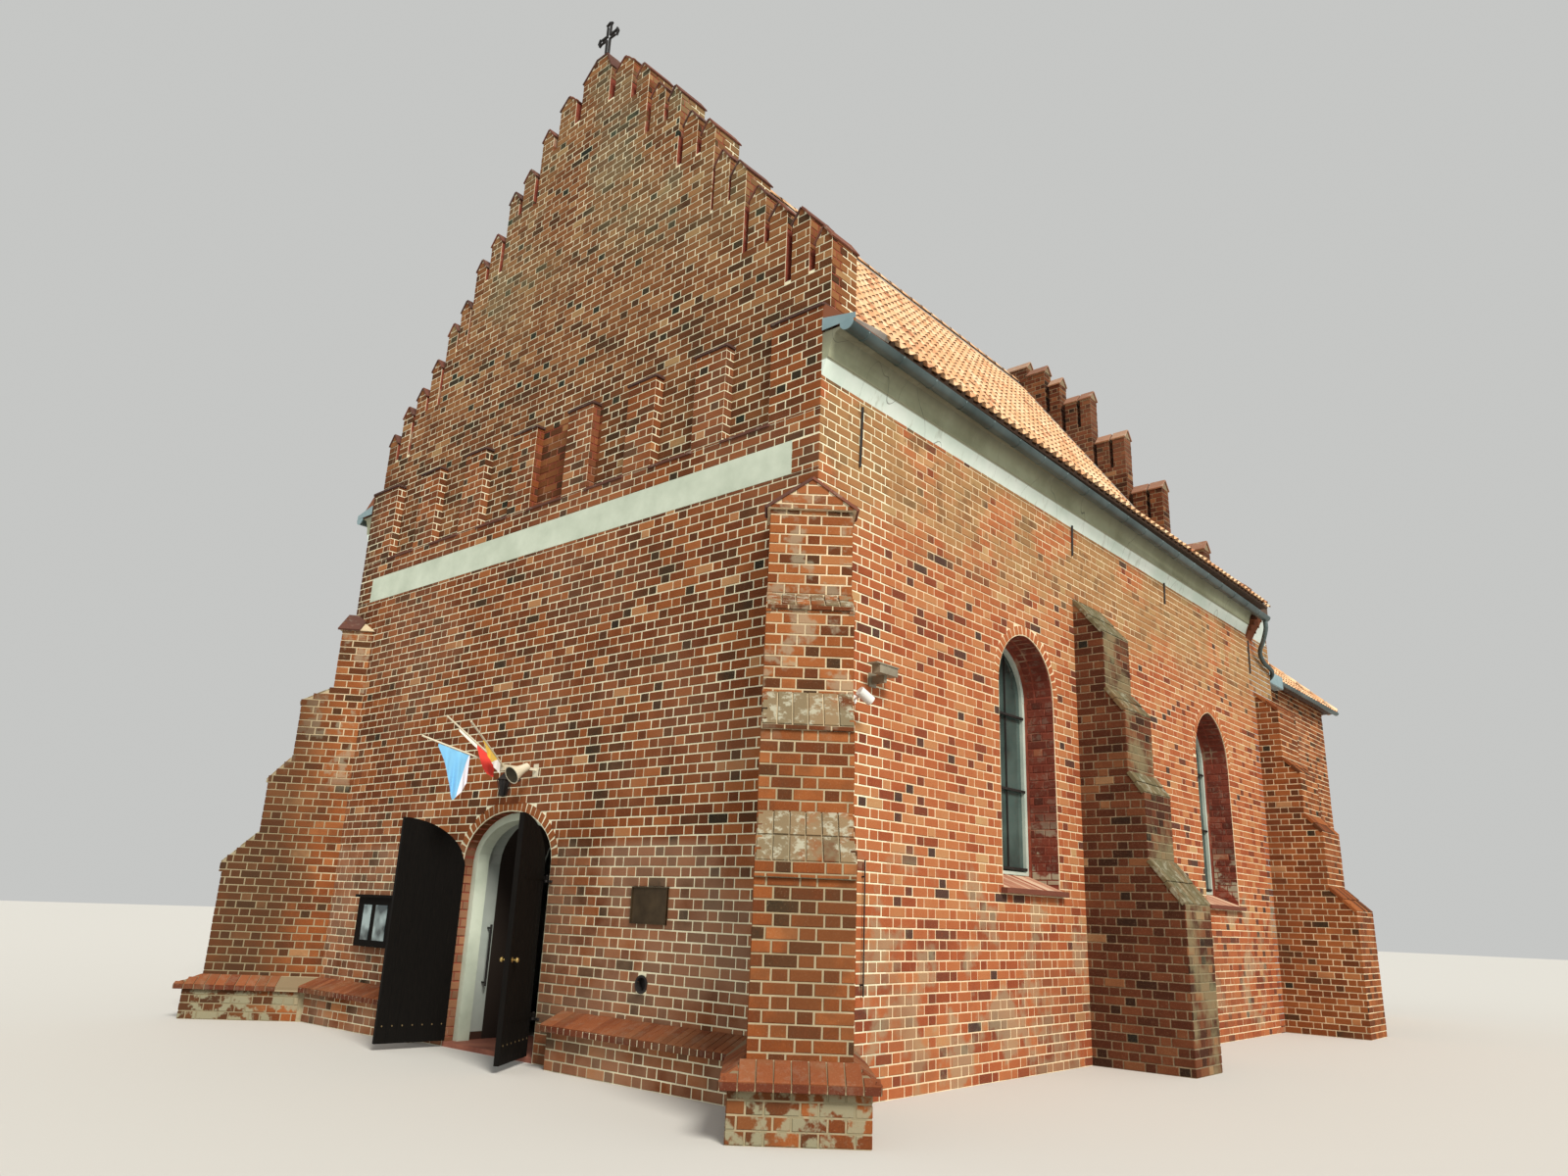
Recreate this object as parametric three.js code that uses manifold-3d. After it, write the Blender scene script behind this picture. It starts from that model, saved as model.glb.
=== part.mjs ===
// Brick village church: nave with a stepped front gable, six buttresses and a lower chancel.
// Millimetres, +Z up. The doorway gable faces -Y, the chancel lies at +Y, the ground is at z = 0.

import * as THREE from "three";
import { mergeVertices } from "three/addons/utils/BufferGeometryUtils.js";
import Module from "manifold-3d";

const wasm = await Module();
wasm.setup();

// Clearance between solids that touch.
const seat = 0.3;

// Nave plan and wall heights.
const halfWidth = 4520;
const naveLength = 13600;
const frontThick = 1200;
const sideThick = 1000;
const eaveWall = 7466;
const jointHeight = 2000;

// Nave roof, as heights of its outer surface.
const eaveX = 4900;
const eaveZ = 7340;
const kickX = 3220;
const kickZ = 8740;
const ridgeZ = 13370;
const ridgeRise = 60;
const roofDrop = 190;
const tileRibs = {
  edge: 10, count: 68, offset: 45, height: 46, baseHalf: 50, topHalf: 18, bed: 10, ridgeGap: 140,
};

// Front gable: wall face, recessed face and pinnacles as [left edge, right edge, tip].
const recessDepth = 120;
const gableBack = 550;
const sillZ = 6460;
const pilasterTop = 7630;
const pilasterWidth = 480;
const cornerWidth = 700;
const pilasterCount = 6;
const centralHalf = 310;
const centralEave = 13220;
const centralTop = 13490;
const centralFlat = [-30, 190];
const gabletRise = 165;
const frontPinnacles = [
  [453, 817, 13180], [940, 1190, 12810], [1298, 1565, 12270], [1660, 1895, 12030],
  [2000, 2256, 11430], [2350, 2590, 11120], [2638, 2882, 10510], [2928, 3175, 10210],
  [3259, 3515, 9690], [3597, 3859, 9305], [3951, 4202, 9080], [4295, 4520, 8690],
];
const frontSlotBottoms = [12600, 12350, 11540, 11540, 10700, 10700, 9720, 9720, 8850, 8850, 8220, 8220];

// Rear gable: a thin stepped screen with pinnacles as [left edge, right edge, eave] before a thick wall.
const rearFace = 12420;
const screenBack = 12720;
const capRise = 175;
const rearCentral = [262, 13730];
const rearPinnacles = [
  [262, 690, 13497], [800, 1050, 13083], [1160, 1423, 12524], [1511, 1745, 12524],
  [1840, 2100, 11400], [2193, 2455, 11400], [2562, 2828, 10087], [2912, 3168, 10087],
  [3270, 3607, 8630], [3666, 3893, 8630],
];
const rearSlotDepth = 645;
const kneeler = { top: 8308, endX: 4605, endZ: 7733 };

// Plaster band across the front.
const bandHalf = 4165;
const bandBottom = 5830;
const bandTop = 6200;
const bandDepth = 15;

// Doorway, its arch and its pair of leaves.
const doorHalf = 855;
const doorSpring = 2050;
const doorRise = 570;
const passageHalf = 765;
const frameFront = 140;
const frameBack = 300;
const floorTop = 50;
const pinX = 835;
const pinY = -20;
const leafThick = 50;
const leafFront = 30;
const leafBottom = 70;
const leafSpring = 1950;
const leafRise = 555;
const leftOpenDeg = 95;
const rightOpenDeg = 125;
const strapHeights = [450, 1850];

// Plinth along the front wall and round the front buttresses.
const plinthOut = 180;
const noseOut = 280;
const noseBottom = 370;
const noseTop = 425;
const plinthTop = 545;
const plinthStart = 1300;
const plinthEnd = 4060;
const vent = { x: 2475, z: 885, radius: 75, depth: 800 };

// Buttress stages as [distance out from the wall, height], from the top down.
const cornerStages = [
  [30, 5340], [30, 4470], [455, 4262], [455, 4225], [430, 4225], [430, 3460], [730, 3125], [730, 3090],
  [700, 3090], [700, 2400], [1135, 1985], [1135, 1865], [1100, 1865], [1100, 0],
];
const middleStages = [
  [0, 5770], [400, 5290], [400, 4535], [645, 4230], [645, 3440],
  [835, 3180], [835, 2370], [1240, 1870], [1240, 0],
];
const rearStages = [
  [0, 5750], [375, 5430], [375, 4545], [645, 4290], [645, 3560],
  [905, 3270], [905, 2340], [1300, 1970], [1300, 0],
];
const middleButtressY = [5410, 6200];
const rearButtressY = [12620, 13600];

// Corner buttress: it points out a little nearer to the front than to the side.
const cornerButtress = {
  half: 397, turn: (48 * Math.PI) / 180, shift: 50, inner: -700,
  capTop: 5650, capOverhang: 40, plinthSide: 127, noseSide: 187,
};

// Side windows, as centre along the wall, half width, springing and rise.
const sideWindows = [
  { name: "window_near", y: 4080, half: 670, spring: 4290, rise: 690 },
  { name: "window_far", y: 10200, half: 700, spring: 4210, rise: 800 },
];
const windowBase = 1950;
const glassDepth = 450;
const glassThick = 20;
const sillRise = 190;

// Eaves: plaster cornice profile as [x, z] and half-round gutter that falls to the rear.
const corniceProfile = [
  [4520.3, 6825], [4592, 7005], [4606, 7010], [4620, 7090], [4643, 7160], [4692, 7254],
  [4774.7, 7285], [4774.7, 7303], [4520.3, 7303],
];
const gutterRadius = 80;
const gutterWall = 5;
const gutterX = 4855;
const gutterRim = 7300;
const gutterFall = 0.013;
const gutterStart = -20;
const gutterEnd = 12610;
const eaveUnder = 7310;

// Chancel.
const chancelHalf = 3920;
const chancelEnd = 19200;
const chancelThick = 800;
const chancelEave = 6500;
const chancelOverhang = 250;
const chancelSlope = 0.95;
const chancelDrop = 180;
const chancelGlassDepth = 350;
const arch = { half: 2000, spring: 3200, rise: 2000 };
const chancelWindow = { y: 16400, half: 550, spring: 3900, rise: 640, base: 2100 };

const brick = material(0x9c4a2c, 0.9, 0);
const newBrick = material(0xa8492a, 0.85, 0);
const plaster = material(0xc9d2c4, 0.9, 0);
const tile = material(0xd58a5c, 0.8, 0);
const zinc = material(0x6f8088, 0.5, 0.6);
const iron = material(0x1d1d1f, 0.6, 0.6);
const darkWood = material(0x1c1412, 0.6, 0);
const glass = material(0x39464a, 0.15, 0);
const stone = material(0x8c8376, 0.9, 0);
const brass = material(0xb08b3e, 0.35, 0.8);
const paint = material(0xd8d2bb, 0.5, 0);
const bronze = material(0x4b3526, 0.5, 0.5);

const church = new THREE.Group();

function material(color, roughness, metalness) {
  return new THREE.MeshStandardMaterial({ color, roughness, metalness });
}

function place(name, geometry, look, parent = church) {
  const mesh = new THREE.Mesh(geometry, look);
  mesh.name = name;
  parent.add(mesh);
  return mesh;
}

function box(x0, x1, y0, y1, z0, z1) {
  const geometry = new THREE.BoxGeometry(x1 - x0, y1 - y0, z1 - z0);
  return geometry.translate((x0 + x1) / 2, (y0 + y1) / 2, (z0 + z1) / 2);
}

function shapeOf(points) {
  return new THREE.Shape(points.map(([u, v]) => new THREE.Vector2(u, v)));
}

function extrude(shape, depth) {
  return new THREE.ExtrudeGeometry(shape, { depth, bevelEnabled: false, curveSegments: 8 });
}

// Shape in (x, z), extruded from y0 to y1.
function alongY(shape, y0, y1) {
  const turn = new THREE.Matrix4().makeBasis(
    new THREE.Vector3(1, 0, 0),
    new THREE.Vector3(0, 0, 1),
    new THREE.Vector3(0, -1, 0),
  );
  return extrude(shape, y1 - y0).applyMatrix4(turn).translate(0, y1, 0);
}

// Shape in (y, z), extruded from x0 to x1.
function alongX(shape, x0, x1) {
  const turn = new THREE.Matrix4().makeBasis(
    new THREE.Vector3(0, 1, 0),
    new THREE.Vector3(0, 0, 1),
    new THREE.Vector3(1, 0, 0),
  );
  return extrude(shape, x1 - x0).applyMatrix4(turn).translate(x0, 0, 0);
}

// Shape in (x, y), extruded from z0 to z1.
function alongZ(shape, z0, z1) {
  return extrude(shape, z1 - z0).translate(0, 0, z0);
}

function polyhedron(points, faces) {
  const geometry = new THREE.BufferGeometry();
  geometry.setAttribute("position", new THREE.Float32BufferAttribute(points.flat(), 3));
  geometry.setIndex(faces.flat());
  return geometry.toNonIndexed();
}

// Block that narrows from rectangle a at z0 to rectangle b at z1; a rectangle is [x0, x1, y0, y1].
function frustum(a, z0, b, z1) {
  const ring = ([x0, x1, y0, y1], z) => [[x0, y0, z], [x1, y0, z], [x1, y1, z], [x0, y1, z]];
  const faces = [[0, 2, 1], [0, 3, 2], [4, 5, 6], [4, 6, 7]];
  for (let i = 0; i < 4; i++) {
    const j = (i + 1) % 4;
    faces.push([i, j, 4 + j], [i, 4 + j, 4 + i]);
  }
  return polyhedron([...ring(a, z0), ...ring(b, z1)], faces);
}

function solid(geometry) {
  const bare = geometry.index ? geometry.toNonIndexed() : geometry.clone();
  bare.deleteAttribute("normal");
  bare.deleteAttribute("uv");
  const merged = mergeVertices(bare, 1e-3);
  const vertProperties = new Float32Array(merged.attributes.position.array);
  const triVerts = new Uint32Array(merged.index.array);
  return new wasm.Manifold(new wasm.Mesh({ numProp: 3, vertProperties, triVerts }));
}

function geometryOf(body) {
  const { numProp, vertProperties, triVerts } = body.getMesh();
  const positions = [];
  for (const v of triVerts) {
    positions.push(...vertProperties.subarray(v * numProp, v * numProp + 3));
  }
  const geometry = new THREE.BufferGeometry();
  geometry.setAttribute("position", new THREE.Float32BufferAttribute(positions, 3));
  geometry.computeVertexNormals();
  return geometry;
}

function join(...geometries) {
  return geometryOf(geometries.map(solid).reduce((a, b) => a.add(b)));
}

function cut(geometry, ...tools) {
  return geometryOf(tools.map(solid).reduce((a, b) => a.subtract(b), solid(geometry)));
}

// Arch outline centred on u = 0: elliptical up to a half circle, pointed above that.
function archShape(half, base, spring, rise) {
  const shape = new THREE.Shape();
  shape.moveTo(-half, base);
  shape.lineTo(half, base);
  if (rise <= half) {
    shape.absellipse(0, spring, half, rise, 0, Math.PI, false);
  } else {
    const radius = (rise * rise + half * half) / (2 * half);
    const apexAngle = Math.acos((radius - half) / radius);
    shape.absarc(half - radius, spring, radius, 0, apexAngle, false);
    shape.absarc(radius - half, spring, radius, Math.PI - apexAngle, Math.PI, false);
  }
  shape.closePath();
  return shape;
}

// Height of the underside of the nave roof.
function roofUnder(x) {
  const away = Math.abs(x);
  const top = away > kickX
    ? kickZ + ((away - kickX) * (eaveZ - kickZ)) / (eaveX - kickX)
    : ridgeZ + (away * (kickZ - ridgeZ)) / kickX;
  return top - roofDrop;
}

// Profile of the front plinth in (y, z), grown by a clearance.
function plinthShape(grow) {
  const points = [
    [10, 0], [-plinthOut - grow, 0], [-plinthOut - grow, noseBottom - grow],
    [-noseOut - grow, noseBottom - grow], [-noseOut - grow, noseTop + grow],
    [0, plinthTop + grow], [10, plinthTop + grow],
  ];
  return shapeOf(points.reverse());
}

function sideX(side, near, far) {
  return side > 0 ? [near, far] : [-far, -near];
}

function frontWallSide(side) {
  const wall = box(...sideX(side, doorHalf, halfWidth), 0, frontThick, 0, jointHeight);
  const plinth = alongX(plinthShape(0), ...sideX(side, plinthStart, plinthEnd));
  if (side < 0) return join(wall, plinth);
  const hole = new THREE.CylinderGeometry(vent.radius, vent.radius, vent.depth, 16);
  return cut(join(wall, plinth), hole.translate(vent.x, 0, vent.z));
}

// Wall over the doorway, up to the tops of the flat pilasters.
function frontWallOver() {
  const bottom = jointHeight + seat;
  const lower = box(-halfWidth, halfWidth, 0, frontThick, bottom, sillZ);
  const upper = box(-halfWidth, halfWidth, recessDepth, frontThick, sillZ - 10, eaveWall);
  const parapet = box(-halfWidth, halfWidth, recessDepth, gableBack, eaveWall - 10, pilasterTop);
  const pieces = [lower, upper, parapet];
  for (const [x0, x1] of pilasters()) {
    pieces.push(box(x0, x1, 0, recessDepth + 10, sillZ - 10, pilasterTop));
  }
  const doorway = alongY(archShape(doorHalf, -10, doorSpring, doorRise), -10, frontThick + 10);
  const band = box(-bandHalf, bandHalf, -10, bandDepth, bandBottom, bandTop);
  return cut(join(...pieces), doorway, band);
}

function pilasters() {
  const gap = (2 * (halfWidth - cornerWidth) - pilasterCount * pilasterWidth) / (pilasterCount + 1);
  const spans = [[-halfWidth, cornerWidth - halfWidth], [halfWidth - cornerWidth, halfWidth]];
  for (let i = 0; i < pilasterCount; i++) {
    const x0 = cornerWidth - halfWidth + gap + i * (pilasterWidth + gap);
    spans.push([x0, x0 + pilasterWidth]);
  }
  return spans;
}

// Outline from the right half of it, given from the centre outwards.
function mirroredOutline(right) {
  const left = right.filter(([x]) => x > 0).reverse().map(([x, z]) => [-x, z]);
  return shapeOf([...left, ...right].reverse());
}

function frontGable() {
  const [flatStart, flatEnd] = centralFlat;
  const tip = shapeOf([
    [-centralHalf, centralEave - 1], [centralHalf, centralEave - 1], [centralHalf, centralEave],
    [flatEnd, centralTop], [flatStart, centralTop], [-centralHalf, centralEave],
  ]);
  const right = [[centralHalf, centralEave]];
  for (const [x0, x1, tip] of frontPinnacles) {
    const eave = tip - gabletRise;
    right.push([right.at(-1)[0], eave], [x0, eave], [(x0 + x1) / 2, tip], [x1, eave]);
  }
  right.push([halfWidth, pilasterTop + seat]);
  const slots = [];
  frontPinnacles.forEach(([x0], i) => {
    const start = i ? frontPinnacles[i - 1][1] : centralHalf;
    for (const side of [-1, 1]) {
      slots.push(box(...sideX(side, start, x0), 0, 2 * recessDepth, frontSlotBottoms[i], centralTop));
    }
  });
  const stepped = alongY(mirroredOutline(right), recessDepth, gableBack);
  return cut(join(stepped, alongY(tip, recessDepth, gableBack)), ...slots);
}

function plasterBand() {
  const half = bandHalf - seat;
  return box(-half, half, -5, bandDepth - seat, bandBottom + seat, bandTop - seat);
}

function rearWall() {
  const wall = box(-halfWidth, halfWidth, naveLength - frontThick, naveLength, 0, eaveWall);
  const opening = alongY(
    archShape(arch.half, -10, arch.spring, arch.rise),
    naveLength - frontThick - 10,
    naveLength + 10,
  );
  return cut(wall, opening);
}

// Saddle of one rear pinnacle, with its ridge along the wall.
function rearCap(x0, x1, eave) {
  const middle = (rearFace + screenBack) / 2;
  return alongX(shapeOf([[rearFace, eave - 1], [screenBack, eave - 1], [middle, eave + capRise]]), x0, x1);
}

function rearGable() {
  const right = [[rearCentral[0], rearCentral[1]]];
  const caps = [rearCap(-rearCentral[0], rearCentral[0], rearCentral[1])];
  for (const [x0, x1, eave] of rearPinnacles) {
    const before = right.at(-1)[0];
    if (x0 > before) right.push([before, eave - rearSlotDepth], [x0, eave - rearSlotDepth]);
    right.push([x0, eave], [x1, eave]);
    for (const side of [-1, 1]) caps.push(rearCap(...sideX(side, x0, x1), eave));
  }
  const foot = eaveWall + seat;
  right.push([right.at(-1)[0], kneeler.top], [kneeler.endX, kneeler.endZ], [kneeler.endX, foot]);
  const screen = alongY(mirroredOutline(right), rearFace, screenBack);
  const back = [
    [0, roofUnder(0) - seat], [kickX, kickZ - roofDrop - seat], [halfWidth, roofUnder(halfWidth)],
  ];
  const wall = alongY(mirroredOutline([...back, [halfWidth, foot]]), screenBack - 1, naveLength);
  return join(screen, wall, ...caps, ...[-1, 1].map(corbel));
}

// Brick corbel that closes the cornice and carries the foot of the rear screen.
function corbel(side) {
  const inner = halfWidth + seat;
  const outer = gutterX - gutterRadius - seat;
  const profile = [
    [inner, 6750], [4600, 6900], [4700, 7050], [outer, 7200], [outer, 7303],
    [kneeler.endX, 7303], [kneeler.endX, eaveWall + 1], [inner, eaveWall + 1],
  ];
  const made = alongY(shapeOf(profile), rearFace, screenBack);
  return side > 0 ? made : mirrored(made);
}

function sideWall(side) {
  const plateX = halfWidth - 300;
  const profile = [
    [halfWidth, 0], [halfWidth, roofUnder(halfWidth) - seat], [plateX, roofUnder(plateX) - seat],
    [halfWidth - sideThick, roofUnder(plateX) - seat], [halfWidth - sideThick, 0],
  ];
  const start = frontThick + seat;
  const end = naveLength - frontThick - seat;
  let wall = alongY(shapeOf(profile), start, end);
  for (const w of sideWindows) {
    const shape = archShape(w.half, windowBase, w.spring, w.rise);
    const hole = alongX(shape, halfWidth - sideThick - 10, halfWidth + 10).translate(0, w.y, 0);
    wall = cut(wall, hole);
  }
  const sills = sideWindows.map((w) => windowSill(halfWidth, w.y, w.half, windowBase, glassDepth));
  wall = join(wall, ...sills);
  return side > 0 ? wall : mirrored(wall);
}

// Sloping sill in the reveal that stands a little out of the wall face.
function windowSill(face, y, half, base, depth) {
  const profile = [
    [face - depth, base - 10], [face + 60, base - 50], [face + 60, base],
    [face - depth, base + sillRise], [face - depth - 200, base + sillRise],
    [face - depth - 200, base - 10],
  ];
  return alongY(shapeOf(profile), y - half - 1, y + half + 1);
}

function mirrored(geometry) {
  const body = solid(geometry).mirror([1, 0, 0]);
  return geometryOf(body);
}

function windowPane(side, w, base, face, depth) {
  const shape = archShape(w.half - seat, base + sillRise + seat, w.spring, w.rise - seat);
  const inner = face - depth - glassThick;
  const pane = alongX(shape, inner, inner + glassThick).translate(0, w.y, 0);
  return side > 0 ? pane : mirrored(pane);
}

// Buttress in its own frame: outward along +x from the corner, then turned and cut to the walls.
function cornerButtressSolid(side) {
  const { half, turn, shift, inner, capTop, capOverhang, plinthSide, noseSide } = cornerButtress;
  const profile = [[inner, 0], [inner, cornerStages[0][1]], ...cornerStages].reverse();
  const stages = alongY(shapeOf(profile), -half, half);
  const capFoot = cornerStages[0][1];
  const cap = alongX(
    shapeOf([[-half - capOverhang, capFoot], [half + capOverhang, capFoot], [0, capTop]]),
    inner,
    cornerStages[0][0] + capOverhang,
  );
  const baseFace = cornerStages.at(-1)[0];
  const foot = half + plinthSide;
  const nose = half + noseSide;
  const body = box(inner, baseFace + plinthOut, -foot, foot, 0, noseBottom + 10);
  const edge = box(inner, baseFace + noseOut, -nose, nose, noseBottom, noseTop);
  const slope = frustum(
    [inner, baseFace + noseOut, -nose, nose], noseTop,
    [inner, baseFace, -half, half], plinthTop + 10,
  );
  const turned = join(stages, cap, body, edge, slope)
    .translate(0, -shift, 0)
    .rotateZ(-turn)
    .translate(halfWidth, 0, 0);
  const walls = box(0, halfWidth + seat, -seat, frontThick + 500, -10, 9000);
  const plinth = alongX(plinthShape(seat), 0, plinthEnd + seat);
  const plinthFoot = box(0, plinthEnd + seat, -plinthOut - seat, 10, -10, 50);
  const fitted = cut(turned, walls, plinth, plinthFoot);
  return side > 0 ? fitted : mirrored(fitted);
}

function sideButtress(side, stages, [y0, y1]) {
  const profile = stages.map(([out, z]) => [halfWidth + seat + out, z]);
  const shape = shapeOf([[halfWidth + seat, 0], ...profile].reverse());
  const buttress = alongY(shape, y0, y1);
  return side > 0 ? buttress : mirrored(buttress);
}

// Section of the roof out to a distance from the ridge.
function roofShape(end) {
  const right = [[0, ridgeZ], [kickX, kickZ], [end, roofUnder(end) + roofDrop]];
  const under = right.map(([x, z]) => [x, z - roofDrop]);
  const outline = (half) => half.slice(1).reverse().map(([x, z]) => [-x, z]).concat(half);
  return shapeOf([...outline(right), ...outline(under).reverse()].reverse());
}

// The rolls of the pantiles, one up each column of tiles, as ribs on the roof.
function roofRibs(side) {
  const { edge, count, offset, height, baseHalf, topHalf, bed, ridgeGap } = tileRibs;
  const start = gableBack + edge;
  const width = (rearFace - edge - start) / count;
  const path = [[eaveX, eaveZ], [kickX, kickZ], [ridgeGap, roofUnder(ridgeGap) + roofDrop]];
  const low = slopeNormal(path[0], path[1]);
  const high = slopeNormal(path[1], path[2]);
  const lifts = [low, low.map((v, i) => (v + high[i]) / 2), high];
  const ring = (i, half, rise) => {
    const [x, z] = path[i];
    const [nx, nz] = lifts[i];
    return [side * (x + nx * rise), half, z + nz * rise];
  };
  const ribs = [];
  for (let i = 0; i < count; i++) {
    const y = side > 0
      ? start + (i + 0.5) * width + offset
      : rearFace - edge - (i + 0.5) * width - offset;
    const sections = path.map((_, k) => [
      ring(k, y - baseHalf, -bed), ring(k, y + baseHalf, -bed),
      ring(k, y + topHalf, height), ring(k, y - topHalf, height),
    ]);
    ribs.push(swept(sections, side < 0));
  }
  return ribs;
}

function slopeNormal([x0, z0], [x1, z1]) {
  const length = Math.hypot(x1 - x0, z1 - z0);
  return [(z1 - z0) / length, (x0 - x1) / length];
}

// Closed body through a row of sections with the same number of points.
function swept(sections, forward) {
  const size = sections[0].length;
  const faces = [];
  const add = (first, ...rest) => {
    for (let i = 1; i < rest.length; i++) {
      faces.push(forward ? [first, rest[i - 1], rest[i]] : [first, rest[i], rest[i - 1]]);
    }
  };
  for (let k = 1; k < sections.length; k++) {
    for (let i = 0; i < size; i++) {
      const j = (i + 1) % size;
      const low = (k - 1) * size;
      add(low + i, low + j, low + size + j, low + size + i);
    }
  }
  const last = (sections.length - 1) * size;
  const order = [...Array(size).keys()];
  add(...order.toReversed());
  add(...order.map((i) => last + i));
  return polyhedron(sections.flat(), faces);
}

function naveRoof() {
  const inner = halfWidth + seat;
  const main = alongY(roofShape(inner), gableBack + seat, rearFace - seat);
  const strip = (start) => shapeOf([
    [start, roofUnder(inner) + 1], [gutterX - gutterRadius - 10, eaveUnder], [eaveX, eaveUnder],
    [eaveX, eaveZ], [start, roofUnder(inner) + roofDrop],
  ]);
  const beside = alongY(strip(inner - 1), gableBack + seat, rearFace - seat);
  const ahead = alongY(strip(inner), 0, gutterEnd);
  const kneelerEnd = box(0, kneeler.endX + seat, rearFace - seat, gutterEnd + 1, eaveWall - 100, 9000);
  const eave = cut(join(beside, ahead), kneelerEnd);
  return join(main, eave, mirrored(eave), ...roofRibs(1), ...roofRibs(-1));
}

// Roof over the thick wall behind the rear screen.
function rearRoof() {
  const verge = 80;
  return alongY(roofShape(halfWidth + verge), screenBack + seat, naveLength);
}

function naveRidge() {
  const half = 110;
  const fall = (ridgeZ - kickZ) / kickX;
  const shape = new THREE.Shape();
  shape.moveTo(-half, ridgeZ - half * fall + seat);
  shape.lineTo(0, ridgeZ + seat);
  shape.lineTo(half, ridgeZ - half * fall + seat);
  shape.quadraticCurveTo(half, ridgeZ + ridgeRise, 0, ridgeZ + ridgeRise);
  shape.quadraticCurveTo(-half, ridgeZ + ridgeRise, -half, ridgeZ - half * fall + seat);
  return alongY(shape, gableBack + seat, rearFace - seat);
}

function cornice(side) {
  const run = alongY(shapeOf(corniceProfile), 0, rearFace - seat);
  return side > 0 ? run : mirrored(run);
}

function gutter(side) {
  const inner = gutterRadius - gutterWall;
  const shape = new THREE.Shape();
  shape.moveTo(gutterX - gutterRadius, gutterRim);
  shape.absarc(gutterX, gutterRim, gutterRadius, Math.PI, 2 * Math.PI, false);
  shape.lineTo(gutterX + inner, gutterRim);
  shape.absarc(gutterX, gutterRim, inner, 2 * Math.PI, Math.PI, true);
  const fall = new THREE.Matrix4().set(1, 0, 0, 0, 0, 1, 0, 0, 0, -gutterFall, 1, 0, 0, 0, 0, 1);
  const run = alongY(shape, gutterStart, gutterEnd).applyMatrix4(fall);
  return side > 0 ? run : mirrored(run);
}

function circle(radius) {
  const shape = new THREE.Shape();
  shape.absarc(0, 0, radius, 0, 2 * Math.PI, false);
  return shape;
}

function tube(points, radius, steps) {
  const path = new THREE.CatmullRomCurve3(points.map((p) => new THREE.Vector3(...p)), false, "centripetal");
  return new THREE.ExtrudeGeometry(circle(radius), { steps, curveSegments: 5, extrudePath: path });
}

// Swan neck from the gutter end under the corbel, along the wall and round the corner, then down.
function downpipe(side) {
  const radius = 40;
  const outletY = 12540;
  const top = gutterRim - gutterRadius - gutterFall * (outletY - radius) - 2;
  const pipeX = 4400;
  const rearY = naveLength + radius + 25;
  const neck = tube(
    [
      [gutterX, outletY, top], [gutterX, outletY, top - 130], [4770, 12610, 6720], [4640, 12780, 6560],
      [4590, 13100, 6430], [4590, 13560, 6330], [4540, rearY - 10, 6260], [4430, rearY, 6160],
      [pipeX, rearY, 6000], [pipeX, rearY, 5900],
    ],
    radius,
    36,
  );
  const foot = 60;
  const length = 5910 - foot;
  const drop = new THREE.CylinderGeometry(radius, radius, length, 12)
    .rotateX(Math.PI / 2)
    .translate(pipeX, rearY, foot + length / 2);
  const clips = [700, 3100, 5500].map((z) =>
    box(pipeX - 12, pipeX + 12, naveLength + seat, rearY, z - 15, z + 15),
  );
  const pipe = join(neck, drop, ...clips);
  return side > 0 ? pipe : mirrored(pipe);
}

// Latin cross whose three free ends widen into pointed buds.
function crossOutline(shape, stem, arm, width, base, bud) {
  const centre = base + stem * 0.6;
  const end = (x, z, dx, dz) => {
    const at = (along, across) => [x - dx * along - dz * across, z - dz * along + dx * across];
    return [at(bud, -width), at(bud / 2, -bud), at(0, 0), at(bud / 2, bud), at(bud, width)];
  };
  const points = [
    [-width, base], [width, base], [width, centre - width],
    ...end(arm, centre, 1, 0), [width, centre + width],
    ...end(0, base + stem, 0, 1), [-width, centre + width],
    ...end(-arm, centre, -1, 0), [-width, centre - width],
  ];
  shape.setFromPoints(points.map(([u, v]) => new THREE.Vector2(u, v)));
  return shape;
}

function gableCross() {
  const base = centralTop + seat;
  const outer = crossOutline(new THREE.Shape(), 700, 235, 46, base, 75);
  const inner = crossOutline(new THREE.Path(), 640, 205, 24, base + 30, 48);
  outer.holes.push(inner);
  const middle = (centralFlat[0] + centralFlat[1]) / 2;
  return alongY(outer, 170, 200).translate(middle, 0, 0);
}

function chancelSide(side) {
  const w = chancelWindow;
  const top = chancelEave - chancelDrop + (chancelOverhang * chancelSlope) - seat;
  const start = naveLength + seat;
  const end = chancelEnd - chancelThick - seat;
  const wall = box(chancelHalf - chancelThick, chancelHalf, start, end, 0, top);
  const shape = archShape(w.half, w.base, w.spring, w.rise);
  const hole = alongX(shape, chancelHalf - chancelThick - 10, chancelHalf + 10).translate(0, w.y, 0);
  const sill = windowSill(chancelHalf, w.y, w.half, w.base, chancelGlassDepth);
  const made = join(cut(wall, hole), sill);
  return side > 0 ? made : mirrored(made);
}

function chancelEndWall() {
  const top = chancelEave - chancelDrop + (chancelOverhang * chancelSlope) - seat;
  return box(-chancelHalf, chancelHalf, chancelEnd - chancelThick, chancelEnd, 0, top);
}

// Hipped roof volume over a rectangle, open to the nave wall.
function hipVolume(edge, y0, y1, z0) {
  const rise = edge * chancelSlope;
  const points = [
    [-edge, y0, z0], [edge, y0, z0], [edge, y1, z0], [-edge, y1, z0],
    [0, y0, z0 + rise], [0, y1 - edge, z0 + rise],
  ];
  const faces = [
    [0, 2, 1], [0, 3, 2], [0, 1, 4], [1, 2, 5], [1, 5, 4], [2, 3, 5], [3, 0, 4], [3, 4, 5],
  ];
  return polyhedron(points, faces);
}

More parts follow.
